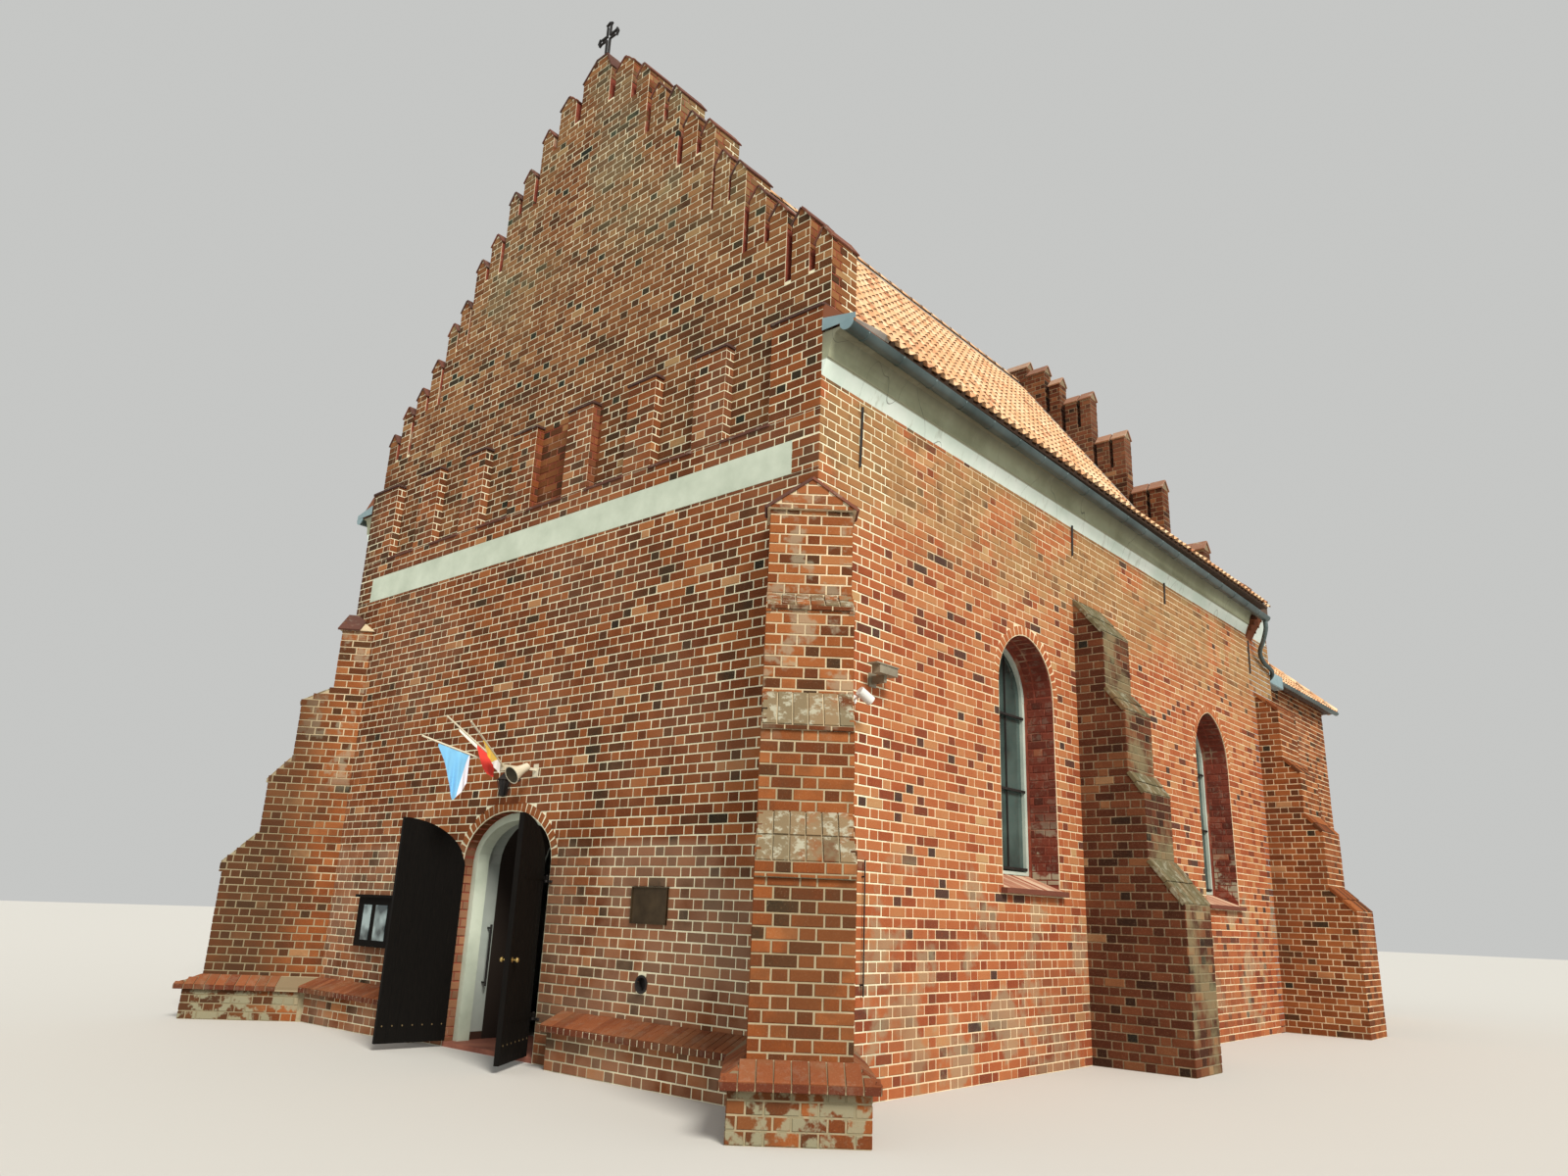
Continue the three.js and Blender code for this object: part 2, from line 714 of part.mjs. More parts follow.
function chancelRoof() {
  const edge = chancelHalf + chancelOverhang;
  const start = naveLength + seat;
  const outer = hipVolume(edge, start, chancelEnd + chancelOverhang, chancelEave);
  const inner = hipVolume(edge, start - 10, chancelEnd + chancelOverhang, chancelEave - chancelDrop);
  return cut(outer, inner);
}

// Floor of nave, chancel arch and chancel in one slab.
function floorSlab() {
  const nave = halfWidth - sideThick - seat;
  const chancel = chancelHalf - chancelThick - seat;
  const naveStart = frontThick + seat;
  const naveEnd = naveLength - frontThick - seat;
  const half = [
    [nave, naveStart], [nave, naveEnd], [arch.half - 20, naveEnd], [arch.half - 20, naveLength + seat],
    [chancel, naveLength + seat], [chancel, chancelEnd - chancelThick - seat],
  ];
  const other = half.map(([x, y]) => [-x, y]).reverse();
  return alongZ(shapeOf([...half, ...other]), 0, floorTop);
}

function threshold() {
  return box(-doorHalf + seat, doorHalf - seat, 0, frontThick, 0, floorTop);
}

// Plastered arch inside the doorway that the leaves close in front of.
function doorwayFrame() {
  const outer = archShape(doorHalf - seat, floorTop + seat, doorSpring, doorRise - seat);
  const inner = archShape(passageHalf, floorTop - 10, doorSpring, doorRise - (doorHalf - passageHalf));
  return cut(alongY(outer, frameFront, frameBack), alongY(inner, frameFront - 10, frameBack + 10));
}

// Leaf in the frame of its hinge pin, closed along +x; the meeting edge is at x = pinX.
function leafBoard() {
  const clear = 20;
  const half = doorHalf - clear;
  const shape = new THREE.Shape();
  const start = pinX - half + 5;
  shape.moveTo(start, leafBottom);
  shape.lineTo(pinX - 3, leafBottom);
  const steps = 12;
  for (let i = 0; i <= steps; i++) {
    const x = pinX - 3 + ((start - pinX + 3) * i) / steps;
    const across = (pinX - x) / half;
    shape.lineTo(x, leafSpring + leafRise * Math.sqrt(Math.max(0, 1 - across * across)));
  }
  shape.closePath();
  return alongY(shape, leafFront, leafFront + leafThick);
}

const pinRadius = 11;
const eyeInner = 13;
const eyeOuter = 22;
const strapHeight = 45;

function leafStrap(z) {
  const plate = box(0, 620, leafFront - 8, leafFront + 2, z, z + strapHeight);
  const crank = box(-6, 34, eyeInner, leafFront + 2, z, z + strapHeight);
  const eye = new THREE.CylinderGeometry(eyeOuter, eyeOuter, strapHeight, 20)
    .rotateX(Math.PI / 2)
    .translate(0, 0, z + strapHeight / 2);
  return join(plate, crank, eye);
}

function leaf(side) {
  const bores = strapHeights.map((z) =>
    new THREE.CylinderGeometry(eyeInner, eyeInner, strapHeight + 20, 20)
      .rotateX(Math.PI / 2)
      .translate(0, 0, z + strapHeight / 2),
  );
  const made = cut(join(leafBoard(), ...strapHeights.map(leafStrap)), ...bores);
  return side < 0 ? made : mirrored(made);
}

// Hook built into the brick jamb, with an upright pin that carries a strap eye.
function pintle(side, z) {
  const pin = new THREE.CylinderGeometry(pinRadius, pinRadius, strapHeight + 20, 20)
    .rotateX(Math.PI / 2)
    .translate(pinX, pinY, z + strapHeight / 2);
  const shoulder = new THREE.CylinderGeometry(eyeOuter, eyeOuter, 24, 20)
    .rotateX(Math.PI / 2)
    .translate(pinX, pinY, z - 12 - seat);
  const arm = box(pinX, pinX + 90, pinY - 10, -seat, z - 24 - seat, z - seat);
  const made = join(pin, shoulder, arm);
  return side > 0 ? made : mirrored(made);
}

function knob(side) {
  const profile = [[0, 0], [26, 0], [26, 6], [9, 10], [9, 34], [24, 44], [27, 56], [20, 68], [0, 72]];
  const points = profile.map(([r, z]) => new THREE.Vector2(r, z));
  const turned = new THREE.LatheGeometry(points, 16).rotateX(side > 0 ? Math.PI : 0);
  return turned.translate(-pinX + 75, side > 0 ? leafFront - seat : leafFront + leafThick + seat, 1050);
}

function addDoors() {
  for (const [name, side, open] of [["left", -1, leftOpenDeg], ["right", 1, rightOpenDeg]]) {
    const hung = new THREE.Group();
    hung.position.set(side * pinX, pinY, 0);
    hung.rotation.z = (side * open * Math.PI) / 180;
    place(name + "_leaf", leaf(side), darkWood, hung);
    if (side > 0) {
      place("outer_knob", knob(1), brass, hung);
      place("inner_knob", knob(-1), brass, hung);
    }
    church.add(hung);
    place(name + "_lower_pintle", pintle(side, strapHeights[0]), iron);
    place(name + "_upper_pintle", pintle(side, strapHeights[1]), iron);
  }
}

const grabRail = { y: 450, reach: 70, radius: 14, bottom: 640, length: 700, post: 10, inset: 40 };

function grabBar() {
  const { y, reach, radius, bottom, length, post, inset } = grabRail;
  const wallX = -doorHalf + seat;
  const barX = wallX + reach;
  const bar = new THREE.CylinderGeometry(radius, radius, length, 12)
    .rotateX(Math.PI / 2)
    .translate(barX, y, bottom + length / 2);
  const posts = [bottom + inset, bottom + length - inset].map((z) =>
    box(wallX, barX, y - post, y + post, z - post, z + post),
  );
  return join(bar, ...posts);
}

const caseSize = { left: -2985, right: -2150, depth: 110, bottom: 1000, top: 1600, hood: 35, over: 40 };

function noticeCase() {
  const { left, right, depth, bottom, top, hood, over } = caseSize;
  const body = box(left, right, -depth, -seat, bottom, top);
  const roof = box(left - over, right + over, -depth - over, -seat, top - 1, top + hood);
  return join(body, roof);
}

const lanternPlace = { x: 100, y: -200, foot: 2760, sides: 6 };
const lanternProfile = [[0, 0], [35, 10], [75, 190], [95, 195], [40, 250], [12, 275], [0, 280]];

function lantern() {
  const { x, y, foot, sides } = lanternPlace;
  const hookHalf = 8;
  const hookFoot = foot + 265;
  const body = new THREE.LatheGeometry(lanternProfile.map(([r, z]) => new THREE.Vector2(r, z)), sides)
    .rotateX(Math.PI / 2)
    .translate(x, y, foot);
  const hook = box(x - hookHalf, x + hookHalf, y - hookHalf, -5, hookFoot, hookFoot + 2 * hookHalf);
  const plate = box(x - 30, x + 30, -10, -seat, hookFoot - 65, hookFoot + 20);
  return join(body, hook, plate);
}

// Horn speaker from the middle of its back to the middle of its mouth.
const hornPlace = { back: [420, -130, 3100], mouth: [428, -338, 2977], armHalf: 15, armTop: 3092 };
const hornProfile = [
  [0, 0], [44, 0], [48, 60], [62, 130], [100, 230], [106, 242], [96, 242], [52, 140], [0, 120],
];

function horn() {
  const { back, mouth, armHalf, armTop } = hornPlace;
  const bell = new THREE.LatheGeometry(hornProfile.map(([r, z]) => new THREE.Vector2(r, z)), 20)
    .applyQuaternion(turnTo(back, mouth))
    .translate(...back);
  const [x, y] = back;
  const arm = box(x - armHalf, x + armHalf, y - 40, -5, armTop - 2 * armHalf, armTop);
  const plate = box(x - 45, x + 45, -12, -seat, armTop - 100, armTop + 50);
  return join(bell, arm, plate);
}

const cameraSize = { x: [4640, 4740], y: [760, 1060], z: [3870, 3960], hood: 10, hoodRise: 8 };

function cameraHead() {
  const { x: [x0, x1], y: [y0, y1], z: [z0, z1], hood, hoodRise } = cameraSize;
  const body = box(x0, x1, y0, y1, z0, z1);
  const cover = box(x0 - hood, x1 + hood, y0 - 60, y1 + hood, z1 - 5, z1 + hoodRise);
  const arm = box(halfWidth + 5, x0 + 50, 900, 940, z0 - 70, z0 + 10);
  const plate = box(halfWidth + seat, halfWidth + 14, 860, 980, z0 - 100, z0 + 40);
  return join(body, cover, arm, plate);
}

const lampSize = { x: [4660, 4770], y: [470, 660], z: [3520, 3680], arm: [610, 650], armZ: [3580, 3620] };

function wallLamp() {
  const { x, y, z, arm: [arm0, arm1], armZ } = lampSize;
  const head = box(...x, ...y, ...z);
  const arm = box(halfWidth + 5, x[0] + 10, arm0, arm1, ...armZ);
  const plate = box(halfWidth + seat, halfWidth + 14, arm0 - 40, arm1 + 40, armZ[0] - 40, armZ[1] + 40);
  return join(head, arm, plate);
}

// Three poles in one wall socket, as [far end x, y, z]. Each cloth hangs below its pole: the pairs
// are a share of the pole's length and the cloth's fall there, from the socket outwards.
const socket = [70, -200, 3095];
const poleRadius = 11;
const poles = [
  { name: "flag_left", end: [-315, -1078, 3376], falls: [[0.42, 340], [0.56, 560], [0.62, 400], [0.8, 30]] },
  { name: "flag_middle", end: [-67, -950, 3603], falls: [[0.16, 190], [0.28, 225], [0.47, 40], [0.78, 30]] },
  { name: "flag_right", end: [367, -900, 3508], falls: [[0.12, 120], [0.37, 115], [0.48, 95], [0.64, 20]] },
];

function turnTo(start, end) {
  const along = new THREE.Vector3(...end).sub(new THREE.Vector3(...start)).normalize();
  return new THREE.Quaternion().setFromUnitVectors(new THREE.Vector3(0, 1, 0), along);
}

function poleSolid(end) {
  const from = new THREE.Vector3(...socket);
  const to = new THREE.Vector3(...end);
  const middle = from.clone().add(to).multiplyScalar(0.5);
  return new THREE.CylinderGeometry(poleRadius, poleRadius, from.distanceTo(to), 10)
    .applyQuaternion(turnTo(socket, end))
    .translate(...middle.toArray());
}

function flagPoles() {
  const [x, y, z] = socket;
  const block = box(x - 50, x + 50, y - 30, -seat, z - 35, z + 35);
  return join(block, ...poles.map((p) => poleSolid(p.end)));
}

// Hanging cloth as a thin upright slab under its part of the pole.
function flagCloth({ end, falls }) {
  const run = Math.hypot(end[0] - socket[0], end[1] - socket[1]);
  const rise = end[2] - socket[2];
  const under = (poleRadius + seat) / Math.cos(Math.atan2(rise, run));
  const below = ([share, fall]) => [run * share, rise * share - under - fall];
  const top = [falls.at(-1), falls[0]].map(([share]) => below([share, 0]));
  const shape = shapeOf([...falls.map(below), ...top]);
  const heading = Math.atan2(end[1] - socket[1], end[0] - socket[0]);
  return alongY(shape, -9, 9).rotateZ(heading).translate(...socket);
}

place("front_wall_left", frontWallSide(-1), brick);
place("front_wall_right", frontWallSide(1), brick);
place("front_wall_over", frontWallOver(), brick);
place("front_gable", frontGable(), brick);
place("plaster_band", plasterBand(), plaster);
place("gable_cross", gableCross(), iron);
place("rear_wall", rearWall(), brick);
place("rear_gable", rearGable(), brick);
for (const [name, side] of [["right", 1], ["left", -1]]) {
  place(name + "_side_wall", sideWall(side), brick);
  place(name + "_corner_buttress", cornerButtressSolid(side), brick);
  place(name + "_middle_buttress", sideButtress(side, middleStages, middleButtressY), brick);
  place(name + "_rear_buttress", sideButtress(side, rearStages, rearButtressY), newBrick);
  place(name + "_cornice", cornice(side), plaster);
  place(name + "_gutter", gutter(side), zinc);
  place(name + "_downpipe", downpipe(side), zinc);
  place(name + "_chancel_wall", chancelSide(side), brick);
  for (const w of sideWindows) {
    place(name + "_" + w.name, windowPane(side, w, windowBase, halfWidth, glassDepth), glass);
  }
  const choir = windowPane(side, chancelWindow, chancelWindow.base, chancelHalf, chancelGlassDepth);
  place(name + "_chancel_window", choir, glass);
}
place("chancel_end_wall", chancelEndWall(), brick);
place("nave_roof", naveRoof(), tile);
place("nave_ridge", naveRidge(), tile);
place("rear_roof", rearRoof(), tile);
place("chancel_roof", chancelRoof(), tile);
place("floor", floorSlab(), stone);
place("threshold", threshold(), brick);
place("doorway_frame", doorwayFrame(), plaster);
addDoors();
place("grab_bar", grabBar(), iron);
place("notice_case", noticeCase(), darkWood);
place("plaque", box(2260, 2780, -20, -seat, 1445, 1800), bronze);
place("lantern", lantern(), iron);
place("horn_speaker", horn(), paint);
place("camera", cameraHead(), paint);
place("wall_lamp", wallLamp(), paint);
place("flag_poles", flagPoles(), darkWood);
for (const p of poles) place(p.name, flagCloth(p), paint);

// The origin is at the middle of the footprint, from the front buttress plinths to the chancel eave.
const noseReach = cornerStages.at(-1)[0] + noseOut;
const noseAside = cornerButtress.half + cornerButtress.noseSide + cornerButtress.shift;
const frontEdge = -noseReach * Math.sin(cornerButtress.turn) - noseAside * Math.cos(cornerButtress.turn);
const rearEdge = chancelEnd + chancelOverhang;
church.position.y = -(frontEdge + rearEdge) / 2;

export default church;
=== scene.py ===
# Brick village church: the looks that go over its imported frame.
import math
import random

import bmesh
import bpy
from mathutils import Matrix, Vector


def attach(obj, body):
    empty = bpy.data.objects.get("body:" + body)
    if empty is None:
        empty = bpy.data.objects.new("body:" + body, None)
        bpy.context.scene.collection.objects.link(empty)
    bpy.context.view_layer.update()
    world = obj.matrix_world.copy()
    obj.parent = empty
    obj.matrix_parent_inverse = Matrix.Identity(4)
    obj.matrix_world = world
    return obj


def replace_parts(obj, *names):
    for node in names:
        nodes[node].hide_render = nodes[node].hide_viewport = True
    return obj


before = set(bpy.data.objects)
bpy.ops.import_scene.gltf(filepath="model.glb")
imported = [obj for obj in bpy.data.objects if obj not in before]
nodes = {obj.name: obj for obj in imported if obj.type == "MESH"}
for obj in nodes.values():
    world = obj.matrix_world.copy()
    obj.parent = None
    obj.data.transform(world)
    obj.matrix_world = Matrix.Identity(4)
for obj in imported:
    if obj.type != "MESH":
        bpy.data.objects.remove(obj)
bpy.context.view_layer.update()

originY = -9.0001156  # the front wall face; every piece is built from it and moved here last
up = Vector((0, 0, 1))
frontOut, backOut = Vector((0, -1, 0)), Vector((0, 1, 0))
leftOut, rightOut = Vector((-1, 0, 0)), Vector((1, 0, 0))
alongX, alongY = Vector((1, 0, 0)), Vector((0, 1, 0))
bothSides = ((1, "right"), (-1, "left"))
chance = random.Random(4)


# A socket of a material, which adds its own Math nodes when it stands in a sum.
class Signal:
    def __init__(self, finish, socket):
        self.finish = finish
        self.socket = socket

    def reckon(self, operation, *others):
        return self.finish.node("ShaderNodeMath", {"operation": operation}, dict(enumerate([self, *others])))

    def __add__(self, other):
        return self.reckon("ADD", other)

    __radd__ = __add__

    def __mul__(self, other):
        return self.reckon("MULTIPLY", other)

    __rmul__ = __mul__

    def __sub__(self, other):
        return self.reckon("SUBTRACT", other)

    def __rsub__(self, other):
        return self.finish.node("ShaderNodeMath", {"operation": "SUBTRACT"}, {0: other, 1: self})

    def __abs__(self):
        return self.reckon("ABSOLUTE")


# A material and its shader. Its y counts from the front wall face, as the building does.
class Finish:
    sockets = {"roughness": "Roughness", "metallic": "Metallic", "sheen": "Sheen Weight",
               "specular": "Specular IOR Level"}

    def __init__(self, name, color=None, **constants):
        self.material = bpy.data.materials.new(name)
        self.material.use_nodes = True
        self.tree = self.material.node_tree
        self.shader = self.tree.nodes["Principled BSDF"]
        if color:
            self.shader.inputs["Base Color"].default_value = (*color, 1)
        for key, value in constants.items():
            self.shader.inputs[self.sockets[key]].default_value = value
        self.point = self.node("ShaderNodeTexCoord", output="Object")
        parts = self.tree.nodes.new("ShaderNodeSeparateXYZ")
        self.tree.links.new(self.point.socket, parts.inputs[0])
        self.x, y, self.z = (Signal(self, s) for s in parts.outputs)
        self.y = y - originY

    def node(self, kind, settings=None, inputs=None, output=0):
        made = self.tree.nodes.new(kind)
        for key, value in (settings or {}).items():
            if key == "stops":
                ramp = made.color_ramp.elements
                ramp[0].position, ramp[1].position = value[0][0], value[-1][0]
                for place, _ in value[1:-1]:
                    ramp.new(place)
                for element, (_, color) in zip(ramp, value):
                    element.color = (*color, 1)
            else:
                setattr(made, key, value)
        for key, value in (inputs or {}).items():
            if isinstance(value, Signal):
                self.tree.links.new(value.socket, made.inputs[key])
            elif isinstance(value, tuple) and len(value) == 3 and made.inputs[key].type == "RGBA":
                made.inputs[key].default_value = (*value, 1)
            else:
                made.inputs[key].default_value = value
        return Signal(self, made.outputs[output])

    def mix(self, factor, a, b):
        return self.node("ShaderNodeMix", {"data_type": "RGBA"}, {0: factor, 6: a, 7: b}, 2)

    def stretched(self, x, y, z):
        return self.node("ShaderNodeVectorMath", {"operation": "MULTIPLY"}, {0: self.point, 1: (x, y, z)})

    def noise(self, scale, detail=3.0, rough=0.55, stretch=None):
        vector = self.stretched(*stretch) if stretch else self.point
        return self.node("ShaderNodeTexNoise", None,
                         {"Vector": vector, "Scale": scale, "Detail": detail, "Roughness": rough})

    def fade(self, value, start, end):
        return self.node("ShaderNodeMapRange", {"interpolation_type": "SMOOTHSTEP"},
                         {"Value": value, "From Min": start, "From Max": end})

    def ramp(self, value, stops):
        return self.node("ShaderNodeValToRGB", {"stops": stops}, {0: value})

    def set(self, label, signal):
        self.tree.links.new(signal.socket, self.shader.inputs[label])
        return self

    def bump(self, height, strength, distance):
        made = self.node("ShaderNodeBump", None,
                         {"Height": height, "Strength": strength, "Distance": distance})
        return self.set("Normal", made)


def keep(name, mesh, finish, slot, body="building"):
    made = bpy.data.objects.new(name, mesh)
    bpy.context.scene.collection.objects.link(made)
    mesh.materials.clear()
    mesh.materials.append(finish.material)
    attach(made, body)
    return made


def formed(shape, name, finish, slot, smooth=False, body="building"):
    bmesh.ops.translate(shape, vec=(0, originY, 0), verts=shape.verts)
    mesh = bpy.data.meshes.new(name)
    shape.to_mesh(mesh)
    shape.free()
    if smooth:
        mesh.shade_smooth()
    return keep(name, mesh, finish, slot, body)


def dress(finish, *names):
    for name in names:
        slots = nodes[name].data.materials
        slots.clear()
        slots.append(finish.material)


# Laid pieces: a template set on points, each with its own turn, size and tone.
class Bed:
    def __init__(self):
        self.points, self.turns, self.sizes, self.tones = [], [], [], []

    def lay(self, centre, right, out, size, tone):
        upward = right.cross(-out)
        turn = Matrix((right, -out, upward)).transposed().to_euler()
        self.points.append((centre.x, centre.y + originY, centre.z))
        self.turns.append(tuple(turn))
        self.sizes.append(size)
        self.tones.append(tone)


# Sets the template on every point of a bed, then moves all corners a little, so that no two are alike.
def laidGroup(template, wobble):
    tree = bpy.data.node_groups.new("laid" + template.name, "GeometryNodeTree")
    tree.interface.new_socket("Geometry", in_out="INPUT", socket_type="NodeSocketGeometry")
    tree.interface.new_socket("Geometry", in_out="OUTPUT", socket_type="NodeSocketGeometry")
    add = tree.nodes.new
    link = tree.links.new
    start = add("NodeGroupInput")
    end = add("NodeGroupOutput")
    place = add("GeometryNodeInstanceOnPoints")
    realize = add("GeometryNodeRealizeInstances")
    shift = add("GeometryNodeSetPosition")
    source = add("GeometryNodeObjectInfo")
    source.inputs["Object"].default_value = template
    turn = add("GeometryNodeInputNamedAttribute")
    size = add("GeometryNodeInputNamedAttribute")
    turn.data_type = size.data_type = "FLOAT_VECTOR"
    turn.inputs["Name"].default_value = "turn"
    size.inputs["Name"].default_value = "size"
    angle = add("FunctionNodeEulerToRotation")
    noise = add("ShaderNodeTexNoise")
    noise.inputs["Scale"].default_value = 7.0
    noise.inputs["Detail"].default_value = 1.0
    centred = add("ShaderNodeVectorMath")
    centred.operation = "SUBTRACT"
    centred.inputs[1].default_value = (0.5, 0.5, 0.5)
    scaled = add("ShaderNodeVectorMath")
    scaled.operation = "SCALE"
    scaled.inputs["Scale"].default_value = wobble
    link(start.outputs[0], place.inputs["Points"])
    link(source.outputs["Geometry"], place.inputs["Instance"])
    link(turn.outputs[0], angle.inputs[0])
    link(angle.outputs[0], place.inputs["Rotation"])
    link(size.outputs[0], place.inputs["Scale"])
    link(place.outputs[0], realize.inputs[0])
    link(realize.outputs[0], shift.inputs["Geometry"])
    link(noise.outputs["Color"], centred.inputs[0])
    link(centred.outputs[0], scaled.inputs[0])
    link(scaled.outputs[0], shift.inputs["Offset"])
    link(shift.outputs[0], end.inputs[0])
    return tree


def laid(bed, group, name, finish, slot, smooth=False):
    cloud = bpy.data.meshes.new(name + "Points")
    cloud.from_pydata(bed.points, [], [])
    for label, values in (("turn", bed.turns), ("size", bed.sizes)):
        layer = cloud.attributes.new(label, "FLOAT_VECTOR", "POINT")
        layer.data.foreach_set("vector", [v for triple in values for v in triple])
    cloud.attributes.new("tone", "FLOAT", "POINT").data.foreach_set("value", bed.tones)
    holder = bpy.data.objects.new(name + "Points", cloud)
    bpy.context.scene.collection.objects.link(holder)
    holder.modifiers.new("laid", "NODES").node_group = group
    graph = bpy.context.evaluated_depsgraph_get()
    mesh = bpy.data.meshes.new_from_object(holder.evaluated_get(graph))
    bpy.data.objects.remove(holder)
    mesh.name = name
    if smooth:
        mesh.shade_smooth()
    print(name, len(bed.points), "laid")
    return keep(name, mesh, finish, slot)


def template(shape, name):
    mesh = bpy.data.meshes.new(name)
    shape.to_mesh(mesh)
    shape.free()
    return bpy.data.objects.new(name, mesh)


def cubeOf(length, depth, height):
    shape = bmesh.new()
    bmesh.ops.create_cube(shape, size=1)
    bmesh.ops.scale(shape, vec=(length, depth, height), verts=shape.verts)
    return shape


# Bricks. The bond is Flemish: a header after every stretcher, centred over the stretcher below.
brickwork = {"course": 0.0998, "joint": 0.0135, "stretcher": 0.249, "header": 0.12,
             "depth": 0.05, "proud": 0.006, "chamfer": 0.005, "sliver": 0.04, "least": 0.012,
             "wobble": 0.006, "tilt": 0.004, "uneven": 0.002, "slip": 0.006, "short": 0.004}
archRing = 0.118  # length of the headers that stand on end round each arch


def brickTemplate():
    b = brickwork
    shape = cubeOf(b["stretcher"], b["depth"], b["course"] - b["joint"])
    front = [e for e in shape.edges if all(v.co.y < 0 for v in e.verts)]
    bmesh.ops.bevel(shape, geom=front, offset=b["chamfer"], affect="EDGES", segments=1, profile=0.5,
                    material=-1)
    return template(shape, "Brick")


brickGroup = laidGroup(brickTemplate(), brickwork["wobble"])


def layBrick(bed, face, right, out, length, height, tone):
    b = brickwork
    tilt = Matrix.Rotation(chance.gauss(0, b["tilt"]), 3, out)
    centre = face + out * (b["proud"] - b["depth"] / 2 + chance.uniform(-b["uneven"], b["uneven"]))
    size = (length / b["stretcher"], 1, height / (b["course"] - b["joint"]))
    bed.lay(centre, tilt @ right, out, size, tone)


# A block of any size, laid as a brick is: a slab, a bar or a fillet.
def slab(bed, centre, right, out, length, thick, height, tone=0.5):
    b = brickwork
    size = (length / b["stretcher"], thick / b["depth"], height / (b["course"] - b["joint"]))
    bed.lay(centre, right, out, size, tone)


# Tones run from 0, burnt, to 1, pale. A share is (of the headers, of the stretchers) and counts from 0.
toneWork = {"burnt": {"share": (0.035, 0.005), "tones": (0.0, 0.08)},
            "dark": {"share": (0.19, 0.06), "tones": (0.1, 0.3)},
            "pale": {"from": 0.985, "tones": (0.85, 1.0)},
            "plain": 0.5, "spread": 0.12, "least": 0.1}


def brickTone(header, bias):
    w = toneWork
    pick = chance.random()
    for shade in (w["burnt"], w["dark"]):
        if pick < shade["share"][0 if header else 1]:
            return chance.uniform(*shade["tones"])
    if pick > w["pale"]["from"]:
        return chance.uniform(*w["pale"]["tones"])
    return min(1.0, max(w["least"], chance.gauss(w["plain"] + bias, w["spread"])))


# Bricks of one course from a to z, as (header, start, end). A sliver at an end goes to its neighbour.
def courseBricks(a, z, shift):
    b = brickwork
    period = b["stretcher"] + b["header"] + 2 * b["joint"]
    row = []
    for i in range(math.floor((a - shift) / period) - 1, math.ceil((z - shift) / period) + 1):
        edge = shift + i * period
        row.append((False, edge, edge + b["stretcher"]))
        row.append((True, edge + b["stretcher"] + b["joint"], edge + period - b["joint"]))
    inside = [(header, x0, x1) for header, x0, x1 in row if min(x1, z) - max(x0, a) > b["sliver"]]
    if not inside:
        return [(True, a, z)] if z - a > b["least"] else []
    inside[0] = (inside[0][0], a, inside[0][2])
    inside[-1] = (inside[-1][0], inside[-1][1], z)
    return inside


# Flat brickwork on an upright face: spansAt(z) gives the stretches along the axis that carry bricks.
def layFace(bed, base, axis, out, z0, z1, spansAt, bias=lambda s, z: 0.0, start=0.0):
    b = brickwork
    right = up.cross(out)
    course, joint = b["course"], b["joint"]
    period = b["stretcher"] + b["header"] + 2 * joint
    for k in range(int(z0 / course), int(math.ceil(z1 / course))):
        bottom = max(k * course + joint / 2, z0 + joint / 4)
        top = min((k + 1) * course - joint / 2, z1 - joint / 4)
        if top - bottom < b["least"]:
            continue
        middle = (top + bottom) / 2
        shift = start + (k % 2) * period / 2 + chance.uniform(-b["slip"], b["slip"])
        for a, z in spansAt(middle):
            for header, x0, x1 in courseBricks(a, z, shift):
                s = (x0 + x1) / 2
                spot = base + axis * s + up * middle
                length = x1 - x0 - chance.uniform(0, b["short"])
                layBrick(bed, spot, right, out, length, top - bottom, brickTone(header, bias(s, middle)))


# Row of equal bricks from start to end, each as wide as the pitch and as long as height across the row.
def layRow(bed, start, end, out, height, tones, pitch=brickwork["course"], lift=0.0, joint=0.013):
    run = end - start
    count = max(1, round(run.length / pitch))
    along = run.normalized()
    for i in range(count):
        spot = start + run * (i + 0.5) / count + out * lift
        layBrick(bed, spot, along, out, run.length / count - joint, height, chance.uniform(*tones))


def skyward(out):
    return out if out.z > 0 else -out


def slopeOut(run, across):
    return skyward(run.cross(across).normalized())


# Row of sloping bricks that shorten towards a hip at each end that has a cut.
def layHipped(bed, start, end, run, cuts, tones, pitch):
    lift, joint = 0.008, 0.009
    line = end - start
    count = round(line.length / pitch)
    out = slopeOut(run, line)
    for i in range(count):
        place = (i + 0.5) / count
        reaches = ((place * line.length, cuts[0]), ((1 - place) * line.length, cuts[1]))
        share = min([1.0] + [reach / cut for reach, cut in reaches if cut])
        spot = start + line * place + run * (share / 2) + out * lift
        layBrick(bed, spot, line.normalized(), out, line.length / count - joint, run.length * share,
                 chance.uniform(*tones))


def without(spans, a, b):
    kept = []
    for x0, x1 in spans:
        if b <= x0 or a >= x1:
            kept.append((x0, x1))
            continue
        if a > x0:
            kept.append((x0, a))
        if b < x1:
            kept.append((b, x1))
    return kept


# An arch is elliptical where it rises no more than its half width, and pointed where it rises more.
def archRadius(arch):
    return (arch["rise"] ** 2 + arch["half"] ** 2) / (2 * arch["half"])


def archHalf(arch, z):
    if z < arch["base"] or z > arch["spring"] + arch["rise"]:
        return 0
    if z < arch["spring"]:
        return arch["half"]
    if arch["rise"] <= arch["half"]:
        return arch["half"] * math.sqrt(max(0, 1 - ((z - arch["spring"]) / arch["rise"]) ** 2))
    radius = archRadius(arch)
    return math.sqrt(max(0, radius ** 2 - (z - arch["spring"]) ** 2)) + arch["half"] - radius


